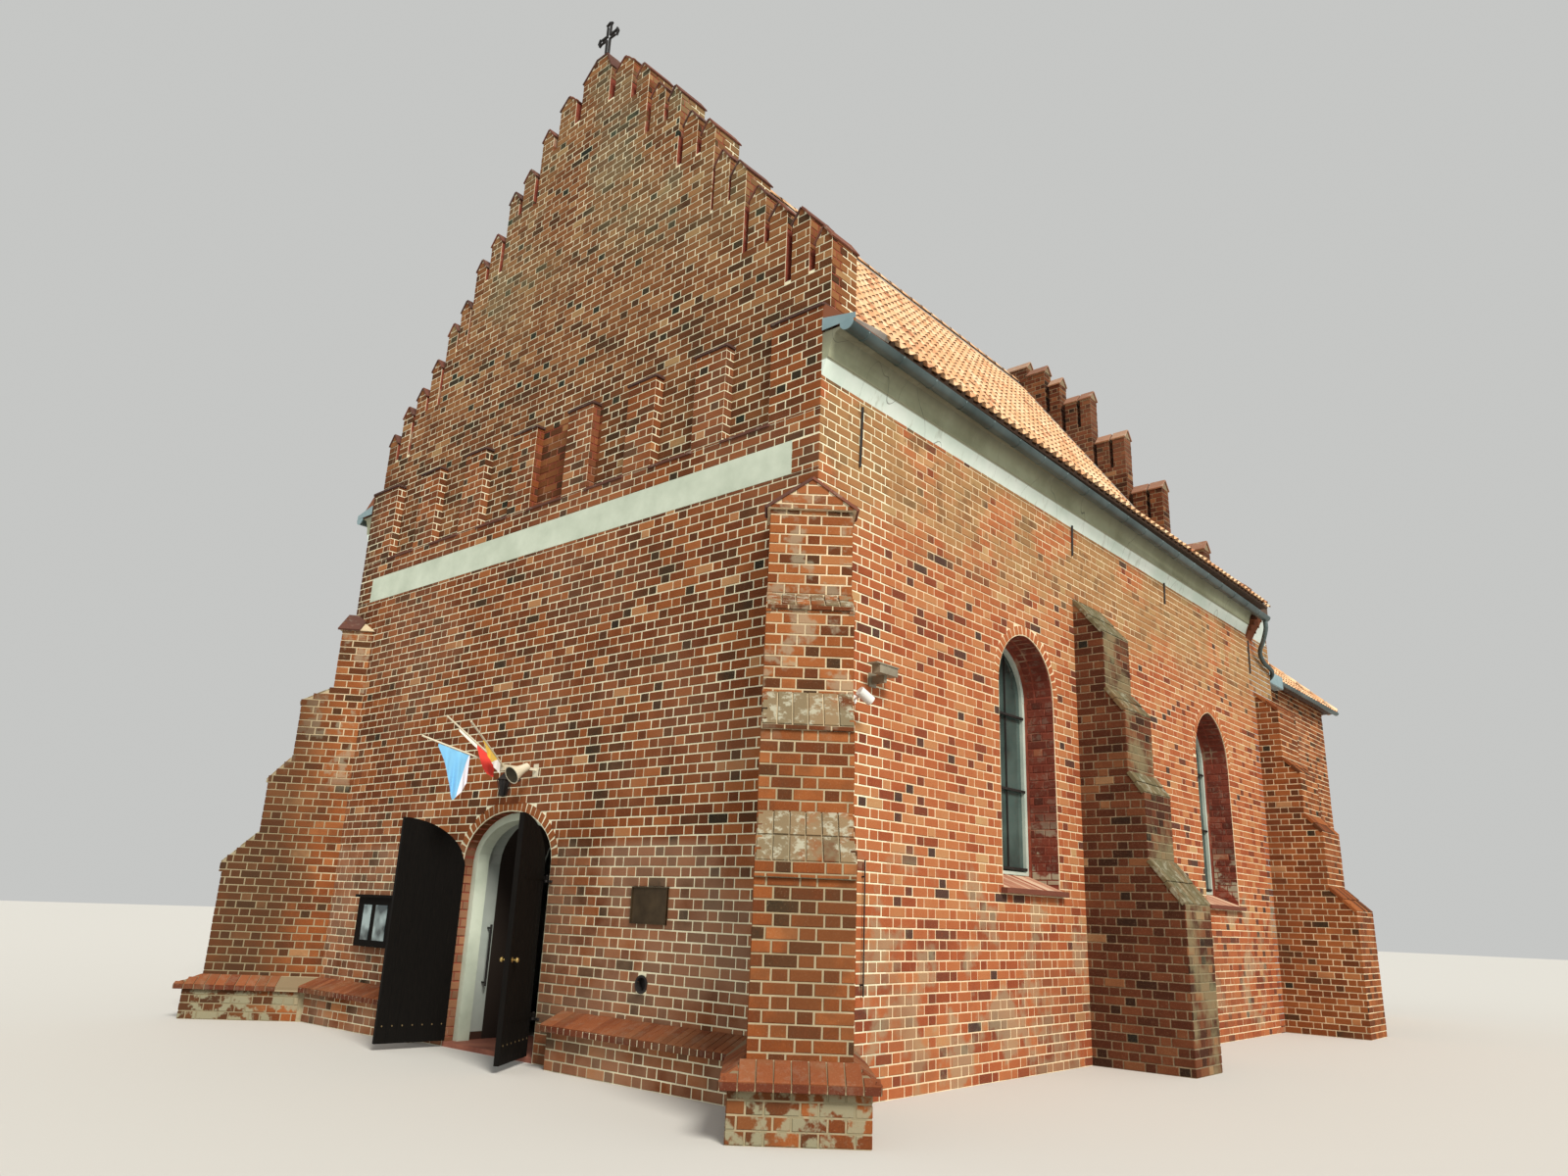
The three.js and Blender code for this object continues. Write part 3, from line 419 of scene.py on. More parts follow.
def archPoint(arch, share):
    # share 0 is the right springing, 0.5 the apex, 1 the left springing
    if arch["rise"] <= arch["half"]:
        angle = math.pi * share
        point = Vector((arch["half"] * math.cos(angle), arch["spring"] + arch["rise"] * math.sin(angle)))
        normal = Vector((math.cos(angle) / arch["half"], math.sin(angle) / arch["rise"])).normalized()
        return point, normal
    radius = archRadius(arch)
    apex = math.acos((radius - arch["half"]) / radius)
    side = 1 if share <= 0.5 else -1
    angle = apex * (share if share <= 0.5 else 1 - share) * 2
    normal = Vector((side * math.cos(angle), math.sin(angle)))
    return Vector((side * (arch["half"] - radius), arch["spring"])) + normal * radius, normal


# The arch with the ring of headers round it.
def ringed(arch):
    return dict(arch, half=arch["half"] + archRing, rise=arch["rise"] + archRing)


# Points and normals of an arch, at steps of one pitch.
def archSteps(arch, pitch):
    parts = 400
    travelled, last = pitch, None
    for i in range(parts + 1):
        point, normal = archPoint(arch, i / parts)
        travelled += (point - last).length if last is not None else 0
        last = point
        if travelled >= pitch:
            travelled = 0.0
            yield point, normal


def layArch(bed, arch, base, axis, out, bias):
    pitch = brickwork["course"] * 0.86
    for point, normal in archSteps(arch, pitch):
        spot = point + normal * (archRing / 2 + 0.004)
        radial = axis * normal.x + up * normal.y
        face = base + axis * spot.x + up * spot.y
        layBrick(bed, face, radial, out, archRing - 0.012, pitch - 0.007, chance.uniform(0.38, 0.6) + bias)


# Bricks on the underside of an arch: rows are (distance out to the middle of a row, its length).
def laySoffit(bed, arch, base, axis, out, rows, tones):
    for point, normal in archSteps(arch, brickwork["course"]):
        inward = -(axis * normal.x + up * normal.y)
        for place, length in rows:
            spot = base + axis * point.x + up * point.y + out * place
            layBrick(bed, spot, out, inward, length, 0.08, chance.uniform(*tones))


# Outline values of the frame, in metres from the front wall face.
hull = {"half": 4.52, "length": 13.6, "eaveWall": 7.466, "band": (4.165, 5.83, 6.20), "recess": 0.12,
        "sill": 6.46, "pilasterTop": 7.63, "gableBack": 0.55, "screen": (12.42, 12.72),
        "vent": {"x": 2.475, "z": 0.885, "radius": 0.075},
        "plinth": {"out": 0.18, "nose": 0.28, "z0": 0.37, "z1": 0.425, "top": 0.545, "from": 1.3, "to": 4.06}}
roof = {"eave": (4.9, 7.34), "kick": (3.22, 8.74), "ridge": 13.37}
doorway = {"half": 0.855, "base": 0.0, "spring": 2.05, "rise": 0.57, "reveal": 0.14}
sideWindows = [
    {"y": 4.08, "half": 0.67, "base": 1.95, "spring": 4.29, "rise": 0.69},
    {"y": 10.2, "half": 0.70, "base": 1.95, "spring": 4.21, "rise": 0.80},
]
chancel = {"half": 3.92, "end": 19.2, "eave": 6.5, "overhang": 0.25, "slope": 0.95,
           "window": {"y": 16.4, "half": 0.55, "base": 2.1, "spring": 3.9, "rise": 0.64}}
# Pinnacles right of the middle, as (inner side, outer side, tip), and the feet of the slots before them.
frontPinnacles = [
    (0.453, 0.817, 13.18), (0.94, 1.19, 12.81), (1.298, 1.565, 12.27), (1.66, 1.895, 12.03),
    (2.0, 2.256, 11.43), (2.35, 2.59, 11.12), (2.638, 2.882, 10.51), (2.928, 3.175, 10.21),
    (3.259, 3.515, 9.69), (3.597, 3.859, 9.305), (3.951, 4.202, 9.08), (4.295, 4.52, 8.69),
]
slotBottoms = [12.6, 12.35, 11.54, 11.54, 10.7, 10.7, 9.72, 9.72, 8.85, 8.85, 8.22, 8.22]
gablet = {"rise": 0.165, "centralHalf": 0.31, "centralEave": 13.22, "centralTop": 13.49,
          "flat": (-0.03, 0.19)}
# Pinnacles of the rear gable, as (inner side, outer side, eave).
rearPinnacles = [
    (0.262, 0.69, 13.497), (0.8, 1.05, 13.083), (1.16, 1.423, 12.524), (1.511, 1.745, 12.524),
    (1.84, 2.1, 11.4), (2.193, 2.455, 11.4), (2.562, 2.828, 10.087), (2.912, 3.168, 10.087),
    (3.27, 3.607, 8.63), (3.666, 3.893, 8.63),
]
rearCentral = (0.262, 13.73)
rearSlotDepth = 0.645
kneeler = {"top": 8.308, "endX": 4.605, "endZ": 7.733}
pilasterWork = {"corner": 0.7, "width": 0.48, "between": 6}


def pilasterSpans():
    p = pilasterWork
    inner = hull["half"] - p["corner"]
    gap = (2 * inner - p["between"] * p["width"]) / (p["between"] + 1)
    starts = [-inner + gap + i * (p["width"] + gap) for i in range(p["between"])]
    corners = [(-hull["half"], -inner), (inner, hull["half"])]
    return corners[:1] + [(x, x + p["width"]) for x in starts] + corners[1:]


pilasters = pilasterSpans()


def roofHeight(x):
    away = abs(x)
    (ex, ez), (kx, kz) = roof["eave"], roof["kick"]
    if away > kx:
        return kz + (away - kx) * (ez - kz) / (ex - kx)
    return roof["ridge"] + away * (kz - roof["ridge"]) / kx


# Half width of the roof at a height, found by halving. At the limit the roof is lower than that.
def roofHalf(z, limit):
    low, high = 0.0, limit
    for _ in range(30):
        middle = (low + high) / 2
        low, high = (middle, high) if roofHeight(middle) > z else (low, middle)
    return low


# The stretches of one side, the same ones mirrored and those of the middle, joined where they touch.
def mirrored(side, middle):
    merged = []
    for a, b in sorted(side + [(-b, -a) for a, b in side] + middle):
        if merged and a - merged[-1][1] < 0.001:
            merged[-1] = (merged[-1][0], max(b, merged[-1][1]))
        else:
            merged.append((a, b))
    return merged


# Stretches of the front gable outline at a height, without the slots when they are open to the front.
def gableSpans(z, slots):
    middle = []
    if z < gablet["centralEave"]:
        middle.append((-gablet["centralHalf"], gablet["centralHalf"]))
    elif z < gablet["centralTop"]:
        share = (gablet["centralTop"] - z) / (gablet["centralTop"] - gablet["centralEave"])
        left, right = gablet["flat"]
        middle.append((left - (gablet["centralHalf"] + left) * share,
                       right + (gablet["centralHalf"] - right) * share))
    side = []
    before = gablet["centralHalf"]
    for (x0, x1, tip), bottom in zip(frontPinnacles, slotBottoms):
        eave = tip - gablet["rise"]
        if z < eave and not (slots and z > bottom):
            side.append((before, x0))
        if z < eave:
            side.append((x0, x1))
        elif z < tip:
            half = (tip - z) / gablet["rise"] * (x1 - x0) / 2
            side.append(((x0 + x1) / 2 - half, (x0 + x1) / 2 + half))
        before = x1
    return mirrored(side, middle)


def rearSpans(z):
    side, before = [], rearCentral[0]
    middle = [(-rearCentral[0], rearCentral[0])] if z < rearCentral[1] else []
    for x0, x1, eave in rearPinnacles:
        if x0 > before and z < eave - rearSlotDepth:
            side.append((before, x0))
        if z < eave:
            side.append((x0, x1))
        before = x1
    slope = (kneeler["top"] - kneeler["endZ"]) / (kneeler["endX"] - before)
    reach = before + (kneeler["top"] - z) / slope
    if reach > before:
        side.append((before, min(reach, kneeler["endX"])))
    return mirrored(side, middle)


# The stretches that stand above the roof: outside of where the roof is higher than z.
def aboveRoof(spans, z):
    level = z + 0.12
    if level >= roof["ridge"]:
        return spans
    half = roofHalf(level, 5.2)
    return without(spans, -half, half)


def frontWallSpans(z):
    p = hull["plinth"]
    edge = hull["half"] + 0.004
    if z > hull["sill"]:
        return [(a - (0.004 if a < -4 else 0), b + (0.004 if b > 4 else 0)) for a, b in pilasters]
    spans = [(-edge, edge)]
    if z < p["top"]:
        spans = without(without(spans, p["from"], 4.7), -4.7, -p["from"])
    if z < doorway["spring"] + doorway["rise"] + archRing:
        half = archHalf(ringed(doorway), z) if z > doorway["spring"] else doorway["half"]
        spans = without(spans, -half - 0.01, half + 0.01)
    bandHalf, bottom, top = hull["band"]
    if bottom < z < top:
        spans = without(spans, -bandHalf - 0.006, bandHalf + 0.006)
    v = hull["vent"]
    if abs(z - v["z"]) < v["radius"] + 0.01:
        reach = math.sqrt((v["radius"] + 0.01) ** 2 - (z - v["z"]) ** 2)
        spans = without(spans, v["x"] - reach, v["x"] + reach)
    return spans


def layPlinth(bed, crest):
    p = hull["plinth"]
    for side in (-1, 1):
        near, far = Vector((side * p["from"], 0, 0)), Vector((side * (p["to"] + 0.1), 0, 0))
        span = tuple(sorted((near.x, side * p["to"])))
        layFace(bed, Vector((0, -p["out"], 0)), alongX, frontOut, 0.0, p["z0"], lambda z: [span],
                lambda s, z: -0.02)
        lip = frontOut * p["nose"] + up * (p["z0"] + p["z1"]) / 2
        layRow(crest, near + lip, far + lip, frontOut, p["z1"] - p["z0"], (0.15, 0.35))
        run = backOut * p["nose"] + up * (p["top"] - p["z1"])
        edge = frontOut * p["nose"] + up * p["z1"]
        layHipped(crest, near + edge, far + edge, run, (0, 0), (0.4, 0.62), brickwork["course"])
        layRow(crest, near + up * 0.2, near + frontOut * p["out"] + up * 0.2, leftOut * side, 0.36,
               (0.3, 0.6), pitch=0.11)


def buildFrontBricks():
    bed, crest = Bed(), Bed()
    origin = Vector((0, 0, 0))
    levels = (0, *hull["band"][1:], hull["sill"], hull["pilasterTop"])
    for z0, z1 in zip(levels, levels[1:]):
        layFace(bed, origin, alongX, frontOut, z0, z1, frontWallSpans,
                lambda s, z: -0.04 - 0.03 * (z > 3.5), start=0.1)
    layArch(bed, doorway, origin, alongX, frontOut, 0.1)
    laySoffit(bed, doorway, origin, alongX, frontOut, [(-doorway["reveal"] / 2, 0.126)], (0.2, 0.4))
    for side in (-1, 1):  # brick reveals of the doorway in front of the plaster frame
        face = Vector((side * doorway["half"], 0, 0))
        layFace(bed, face, alongY, rightOut * -side, 0.0, doorway["spring"],
                lambda z: [(0.002, doorway["reveal"])])
    for a, b in pilasters:
        for x, out in ((a, leftOut), (b, rightOut)):
            if abs(x) < hull["half"]:
                layFace(bed, Vector((x, 0, 0)), alongY, out, hull["sill"] + 0.05, hull["pilasterTop"],
                        lambda z: [(0.002, hull["recess"])], lambda s, z: -0.1)
    layPlinth(bed, crest)
    laid(crest, brickGroup, "front_plinth", plinthFinish, "brick")
    laid(bed, brickGroup, "front_bricks", brickFinish, "brick")


# The recessed fields between the pilasters, and the gable above them.
def fieldSpans(z):
    if z >= hull["pilasterTop"]:
        return gableSpans(z, True)
    spans = [(-hull["half"], hull["half"])]
    for a, b in pilasters:
        spans = without(spans, a, b)
    return spans


def buildGableBricks():
    bed = Bed()
    front, back = hull["recess"], hull["gableBack"]
    olive = lambda s, z: 0.08 if z > 8.5 else -0.02
    layFace(bed, Vector((0, front, 0)), alongX, frontOut, hull["sill"] + 0.06, gablet["centralTop"],
            fieldSpans, olive)
    before = gablet["centralHalf"]
    # The backs of the slots are laid darker: painted shade in the narrow slots.
    for (x0, x1, tip), bottom in zip(frontPinnacles, slotBottoms):  # backs of the slots
        for sign in (-1, 1):
            span = tuple(sorted((sign * (before + 0.002), sign * (x0 - 0.002))))
            layFace(bed, Vector((0, 2 * front, 0)), alongX, frontOut, bottom, tip - gablet["rise"],
                    lambda z: [span], lambda s, z: -0.25)
        before = x1
    # The sides of the steps are laid paler: painted light, as the sun falls on them.
    ends = [(gablet["centralHalf"], gablet["centralEave"])]
    ends += [(x1, tip - gablet["rise"]) for _, x1, tip in frontPinnacles]
    for (x, eave), (_, below) in zip(ends, ends[1:] + [(0, hull["pilasterTop"])]):
        for sign, out in ((1, rightOut), (-1, leftOut)):
            layFace(bed, Vector((sign * x, 0, 0)), alongY, out, below, eave,
                    lambda z: [(front + 0.004, back)], lambda s, z: 0.12)
    layFace(bed, Vector((0, back, 0)), alongX, backOut, hull["eaveWall"], gablet["centralTop"],
            lambda z: aboveRoof(gableSpans(z, False), z), olive)
    laid(bed, brickGroup, "gable_bricks", gableBrickFinish, "brick")


# Corner buttress in its own frame: s goes out along its axis, t to its left. Stages are (reach, height).
cornerButtress = {
    "half": 0.397, "turn": math.radians(48), "shift": 0.05, "foot": 1.1, "footSide": 0.127, "noseSide": 0.187,
    "stages": [(0.03, 5.34), (0.03, 4.47), (0.455, 4.262), (0.455, 4.225), (0.43, 4.225), (0.43, 3.46),
               (0.73, 3.125), (0.73, 3.09), (0.7, 3.09), (0.7, 2.4), (1.135, 1.985), (1.135, 1.865),
               (1.1, 1.865), (1.1, 0.0)],
    "capFoot": 5.34, "capTop": 5.65, "capOver": 0.04}
middleStages = [(0, 5.77), (0.4, 5.29), (0.4, 4.535), (0.645, 4.23), (0.645, 3.44), (0.835, 3.18),
                (0.835, 2.37), (1.24, 1.87), (1.24, 0)]
rearStages = [(0, 5.75), (0.375, 5.43), (0.375, 4.545), (0.645, 4.29), (0.645, 3.56), (0.905, 3.27),
              (0.905, 2.34), (1.3, 1.97), (1.3, 0)]
slopeRows = {"corner": {"seam": 0.01, "tones": (0.2, 0.7), "pitch": 0.135, "lap": 0.006},
             "side": {"seam": 0.008, "tones": (0.15, 0.7), "pitch": 0.14, "lap": 0.008}}


def stageReach(stages, z):
    for (a, za), (b, zb) in zip(stages, stages[1:]):
        if zb <= z <= za and za > zb:
            return a + (b - a) * (za - z) / (za - zb)
    return 0


def cornerFrame(side):
    c = cornerButtress
    outward = Vector((side * math.cos(c["turn"]), -math.sin(c["turn"]), 0))
    across = Vector((-side * math.sin(c["turn"]), -math.cos(c["turn"]), 0))
    corner = Vector((side * hull["half"], 0, 0)) + across * c["shift"]
    return corner, outward, across


# Rows of bricks on a slope of a buttress, from its upper stage to its lower one, each row over the next.
def laySlope(bed, face, out, across, ends, upper, lower, rows, kind):
    (a, za), (b, zb) = upper, lower
    w = slopeRows[kind]
    run = out * (b - a) + up * (zb - za)
    for row in range(rows):
        share = (row + 0.5) / rows
        centre = face + out * (a + (b - a) * share) + up * (za + (zb - za) * share)
        layRow(bed, centre + across * ends[0], centre + across * ends[1], slopeOut(run, across),
               run.length / rows - w["seam"], w["tones"], pitch=w["pitch"],
               lift=0.006 + w["lap"] * (rows - row))


def layCornerFaces(bed, tiles, corner, outward, across):
    c, p = cornerButtress, hull["plinth"]
    half = c["half"]
    bias = lambda s, z: 0.06 if z > 3 else 0.0
    for (a, za), (b, zb) in zip(c["stages"], c["stages"][1:]):
        if a == b and za - zb > 0.06:
            low = max(zb, p["top"] - 0.02)
            layFace(bed, corner + outward * a, across, outward, low, za,
                    lambda z: [(-half - 0.004, half + 0.004)], bias, start=0.05)
        elif a == b:
            edge = corner + outward * a + up * (za + zb) / 2
            layRow(bed, edge - across * half, edge + across * half, outward, za - zb, (0.2, 0.35), pitch=0.2)
        elif b > a:
            rows = 1 if 2.6 < zb < 4 else 2
            laySlope(tiles, corner, outward, across, (-half, half), (a, za), (b, zb), rows, "corner")
    foot = half + c["footSide"]
    reach = c["foot"] + p["out"]
    for sign in (-1, 1):
        face = across * sign
        layFace(bed, corner + across * (half * sign), outward, face, 0, c["capFoot"],
                lambda z: [(-0.75, stageReach(c["stages"], z) - 0.002)], bias, start=0.2)
        layFace(bed, corner + across * (foot * sign), outward, face, 0, p["z0"],
                lambda z: [(-0.2, reach)], bias)

    def capSpans(z):
        wide = (half + c["capOver"]) * (c["capTop"] - z) / (c["capTop"] - c["capFoot"])
        return [(-wide, wide)]

    layFace(bed, corner + outward * (c["stages"][0][0] + c["capOver"]), across, outward, c["capFoot"],
            c["capTop"], capSpans, bias)
    layFace(bed, corner + outward * reach, across, outward, 0, p["z0"],
            lambda z: [(-foot - 0.004, foot + 0.004)], bias)


def layCornerPlinth(crest, corner, outward, across):
    c, p = cornerButtress, hull["plinth"]
    half, nose, reach = c["half"], c["half"] + c["noseSide"], c["foot"] + p["nose"]
    lip, top = up * ((p["z0"] + p["z1"]) / 2), up * p["z1"]
    thick, rise = p["z1"] - p["z0"], up * (p["top"] - p["z1"])
    pitch, joint = 0.13, 0.009
    ends = [corner + outward * reach + across * (sign * nose) for sign in (-1, 1)]
    layRow(crest, ends[0] + lip, ends[1] + lip, outward, thick, (0.15, 0.35), pitch=pitch, joint=joint)
    layHipped(crest, ends[0] + top, ends[1] + top, outward * (c["foot"] - reach) + rise,
              (c["noseSide"], c["noseSide"]), (0.45, 0.68), pitch)
    for sign in (-1, 1):
        face, edge = across * sign, corner + across * (nose * sign)
        start, end = edge + outward * 0.1, edge + outward * reach
        layRow(crest, start + lip, end + lip, face, thick, (0.15, 0.35), pitch=pitch, joint=joint)
        layHipped(crest, start + top, end + top, face * (half - nose) + rise, (0, p["nose"]), (0.4, 0.62),
                  pitch)


def layCornerCoping(coping, corner, outward, across):
    c = cornerButtress
    reach = c["stages"][0][0] + c["capOver"]
    for sign, tone in ((-1, 0.6), (1, 0.3)):
        low = across * (sign * (c["half"] + c["capOver"])) + up * c["capFoot"]
        high = up * c["capTop"]
        run = high - low
        out = slopeOut(run, outward)
        spot = corner + (low + high) / 2 + outward * (reach / 2 - 0.1)
        slab(coping, spot + out * 0.012, run.normalized(), out, run.length + 0.02, 0.03, reach + 0.24, tone)


def buildCornerBricks(side, word):
    corner, outward, across = cornerFrame(side)
    bed, tiles, crest, coping = Bed(), Bed(), Bed(), Bed()
    layCornerFaces(bed, tiles, corner, outward, across)
    laid(bed, brickGroup, word + "_corner_bricks", cornerBrickFinish, "brick")
    layCornerPlinth(crest, corner, outward, across)
    laid(crest, brickGroup, word + "_corner_plinth", plinthFinish, "brick")
    layCornerCoping(coping, corner, outward, across)
    laid(coping, brickGroup, word + "_corner_coping", capFinish, "brick")
    laid(tiles, brickGroup, word + "_corner_weathering", weatheringFinish, "brick")


def buildButtress(side, name, stages, y0, y1, finish, slopeFinish, slot):
    bed, slopes = Bed(), Bed()
    out = rightOut * side
    face = Vector((side * (hull["half"] + 0.0003), 0, 0))
    for (a, za), (b, zb) in zip(stages, stages[1:]):
        if a == b:
            layFace(bed, face + out * a, alongY, out, zb, za, lambda z: [(y0 - 0.004, y1 + 0.004)])
        else:
            laySlope(slopes, face, out, alongY, (y0 - 0.02, y1 + 0.02), (a, za), (b, zb), 2, "side")
    for y, facing in ((y0, frontOut), (y1, backOut)):
        layFace(bed, Vector((face.x, y, 0)), out, facing, 0, stages[0][1],
                lambda z: [(0.001, stageReach(stages, z) - 0.002)] if stageReach(stages, z) > 0.05 else [])
    laid(bed, brickGroup, name + "_bricks", finish, slot)
    laid(slopes, brickGroup, name + "_weathering", slopeFinish, slot)


sideWork = {"top": 6.83, "behind": ((5.42, 6.19), (12.63, 13.61)), "behindTop": 5.6}


# A side wall carries no bricks behind its buttresses and in its windows.
def sideSpans(z):
    spans = [(0.001, hull["length"] + 0.004)]
    if z < sideWork["behindTop"]:
        for a, b in sideWork["behind"]:
            spans = without(spans, a, b)
    for w in sideWindows:
        half = archHalf(w, z)
        if z > w["spring"]:
            half = archHalf(ringed(w), z)
        elif half:
            half += 0.004
        if half:
            spans = without(spans, w["y"] - half - 0.008, w["y"] + half + 0.008)
        elif w["base"] - 0.06 < z < w["base"]:
            spans = without(spans, w["y"] - w["half"], w["y"] + w["half"])
    return spans


def sideBias(s, z):
    return 0.1 + (0.12 if z > 5.2 + 0.5 * math.sin(s * 0.9) else 0.0) - (0.08 if z < 1.6 else 0)


def buildSideBricks(side, name):
    bed = Bed()
    out = rightOut * side
    face = Vector((side * hull["half"], 0, 0))
    layFace(bed, face, alongY, out, 0, sideWork["top"], sideSpans, sideBias, start=0.07)
    for w in sideWindows:
        layArch(bed, w, face + alongY * w["y"], alongY, out, 0.12)
    laid(bed, brickGroup, name, sideBrickFinish, "brick")


# The wall behind the rear gable, below the roof and outside of the chancel.
def rearWallSpans(z):
    half = hull["half"] + 0.004
    if z >= hull["eaveWall"]:
        half = min(roofHalf(z + 0.19, 4.9), hull["half"])
    spans = [(-half, half)]
    c = chancel
    roofTop = c["eave"] + (c["half"] + c["overhang"]) * c["slope"]
    if z < c["eave"] + c["overhang"] * c["slope"]:
        return without(spans, -c["half"], c["half"])
    inner = (roofTop - z) / c["slope"] - 0.1
    return without(spans, -inner, inner) if inner > 0 else spans


# Brackets of brick at the feet of the rear gable, as (height, reach).
corbel = [(6.75, 0.0), (6.9, 0.08), (7.05, 0.18), (7.2, 0.254), (7.303, 0.254)]


def corbelSpans(z):
    for (za, a), (zb, b) in zip(corbel, corbel[1:]):
        if za <= z <= zb:
            reach = a + (b - a) * (z - za) / (zb - za)
            return [(0, reach)] if reach > 0.05 else []
    return []


# The upright ends of the rear pinnacles, and of the slots between those that stand in pairs.
def layRearEnds(bed):
    screenFront, screenBack = hull["screen"]
    thick = lambda z: [(screenFront + 0.004, screenBack)]
    ends = [rearCentral] + [(x1, eave) for _, x1, eave in rearPinnacles]
    starts = [x0 for x0, _, _ in rearPinnacles]
    for i, (x, eave) in enumerate(ends):
        below = kneeler["top"]
        if i < len(rearPinnacles):
            below = rearPinnacles[i][2] - (rearSlotDepth if starts[i] > x else 0)
        for sign, out, inward in ((1, rightOut, leftOut), (-1, leftOut, rightOut)):
            layFace(bed, Vector((sign * x, 0, 0)), alongY, out, below, eave, thick, lambda s, z: 0.05)
            if i and starts[i - 1] > ends[i - 1][0]:
                layFace(bed, Vector((sign * starts[i - 1], 0, 0)), alongY, inward, eave - rearSlotDepth,
                        eave, thick)


def buildRearBricks():
    bed = Bed()
    screenFront, screenBack = hull["screen"]
    for y, out in ((screenFront, frontOut), (screenBack, backOut)):
        layFace(bed, Vector((0, y, 0)), alongX, out, hull["eaveWall"], rearCentral[1],
                lambda z: aboveRoof(rearSpans(z), z))
    layRearEnds(bed)
    layFace(bed, Vector((0, hull["length"], 0)), alongX, backOut, 0, roof["ridge"] - 0.3, rearWallSpans)
    for sign, out in ((1, rightOut), (-1, leftOut)):
        edge = sign * (hull["half"] + 0.0003)
        for y, facing in ((screenFront, frontOut), (screenBack, backOut)):
            layFace(bed, Vector((edge, y, 0)), alongX * sign, facing, corbel[0][0], corbel[-1][0],
                    corbelSpans)
        layFace(bed, Vector((sign * kneeler["endX"], 0, 0)), alongY, out, 7.5, kneeler["endZ"],
                lambda z: [(screenFront, screenBack)])
    laid(bed, brickGroup, "rear_bricks", rearBrickFinish, "brick")


def chancelSpans(z):
    w = chancel["window"]
    half = archHalf(ringed(w) if z > w["spring"] else w, z)
    spans = [(hull["length"], chancel["end"] + 0.004)]
    return without(spans, w["y"] - half - 0.008, w["y"] + half + 0.008) if half else spans


def buildChancelBricks():
    bed, c = Bed(), chancel
    w, top = c["window"], c["eave"] + 0.05
    for side in (-1, 1):
        out = rightOut * side
        face = Vector((side * c["half"], 0, 0))
        layFace(bed, face, alongY, out, 0, top, chancelSpans)
        layArch(bed, w, face + alongY * w["y"], alongY, out, 0.1)
    layFace(bed, Vector((0, c["end"], 0)), alongX, backOut, 0, top, lambda z: [(-c["half"], c["half"])])
    laid(bed, brickGroup, "chancel_bricks", brickFinish, "brick")


# Finishes of the masonry. Stains and painted shades are each an amount, worked out from the finish, and a
# colour.
# A clouded stain comes in patches: none of it at the height bare, and all of it at the height whole.
def clouded(strength, scale=0.55, bare=-1.0, whole=0.0, edge=(0.45, 0.62)):
    return lambda f: f.fade(f.noise(scale, 4, 0.6), *edge) * f.fade(f.z, bare, whole) * strength


# The part of a finish that lies between two values of a coordinate, with a soft edge at each.
def between(f, value, start, end):
    return f.fade(value, *start) * (1 - f.fade(value, *end))


def brickShader(name, stops, stainsAndShades=(), lichen=0.0):
    f = Finish(name, roughness=0.92, specular=0.15)
    tone = f.node("ShaderNodeAttribute", {"attribute_name": "tone"}, output="Fac")
    cloud = f.noise(2.2, 3, 0.6)
    grain = f.noise(60, 4, 0.65)
    color = f.ramp(tone + (cloud - 0.5) * 0.25 + (grain - 0.5) * 0.2, stops)
    speck = f.fade(f.noise(140, 2, 0.5), 0.62, 0.75)
    color = f.mix(speck * 0.35, color, (0.55, 0.38, 0.23))
    for amount, tint in stainsAndShades:
        color = f.mix(amount(f), color, tint)
    if lichen:
        crust = f.fade(f.noise(9, 4, 0.7), 0.5, 0.62)
        color = f.mix(crust * lichen, color, (0.44, 0.43, 0.33))
    f.set("Base Color", color)
    f.bump(grain * 0.6 + f.noise(22, 3, 0.6), 0.5, 0.004)
    return f


redStops = [(0.0, (0.024, 0.019, 0.012)), (0.08, (0.042, 0.027, 0.014)), (0.16, (0.075, 0.03, 0.012)),
            (0.35, (0.14, 0.038, 0.012)), (0.5, (0.23, 0.066, 0.018)), (0.68, (0.32, 0.105, 0.032)),
            (0.86, (0.39, 0.16, 0.06)), (1.0, (0.42, 0.22, 0.1))]
gableStops = [(0.0, (0.016, 0.02, 0.013)), (0.08, (0.028, 0.028, 0.017)), (0.16, (0.055, 0.028, 0.012)),
              (0.35, (0.1, 0.034, 0.012)), (0.5, (0.17, 0.058, 0.019)), (0.68, (0.25, 0.1, 0.036)),
              (0.86, (0.31, 0.15, 0.06)), (1.0, (0.36, 0.22, 0.1))]
orangeStops = [(0.0, (0.06, 0.035, 0.028)), (0.08, (0.085, 0.04, 0.028)), (0.16, (0.15, 0.042, 0.022)),
               (0.35, (0.24, 0.055, 0.022)), (0.5, (0.35, 0.092, 0.033)), (0.68, (0.41, 0.14, 0.052)),
               (0.86, (0.44, 0.2, 0.085)), (1.0, (0.46, 0.28, 0.13))]
darkStops = [(0.0, (0.016, 0.014, 0.01)), (0.16, (0.032, 0.013, 0.007)), (0.4, (0.07, 0.02, 0.009)),
             (0.6, (0.13, 0.04, 0.017)), (0.85, (0.22, 0.095, 0.04)), (1.0, (0.3, 0.18, 0.09))]
plinthStops = [(0.0, (0.07, 0.02, 0.012)), (0.3, (0.13, 0.034, 0.016)), (0.55, (0.25, 0.078, 0.03)),
               (1.0, (0.36, 0.15, 0.07))]
# Painted shade: darker towards the left corner, which stands in the shade of trees.
paintedLeftShade = lambda f: f.fade(f.x, -4.0, -4.5) * 0.72
moss = lambda f: f.fade(f.y, 5.414, 5.43) * f.fade(f.noise(1.6, 4, 0.6), 0.42, 0.6) * 0.6
plinthLichen = (clouded(0.8, 5.0, 0.4, 0.32, (0.47, 0.55)), (0.3, 0.29, 0.19))
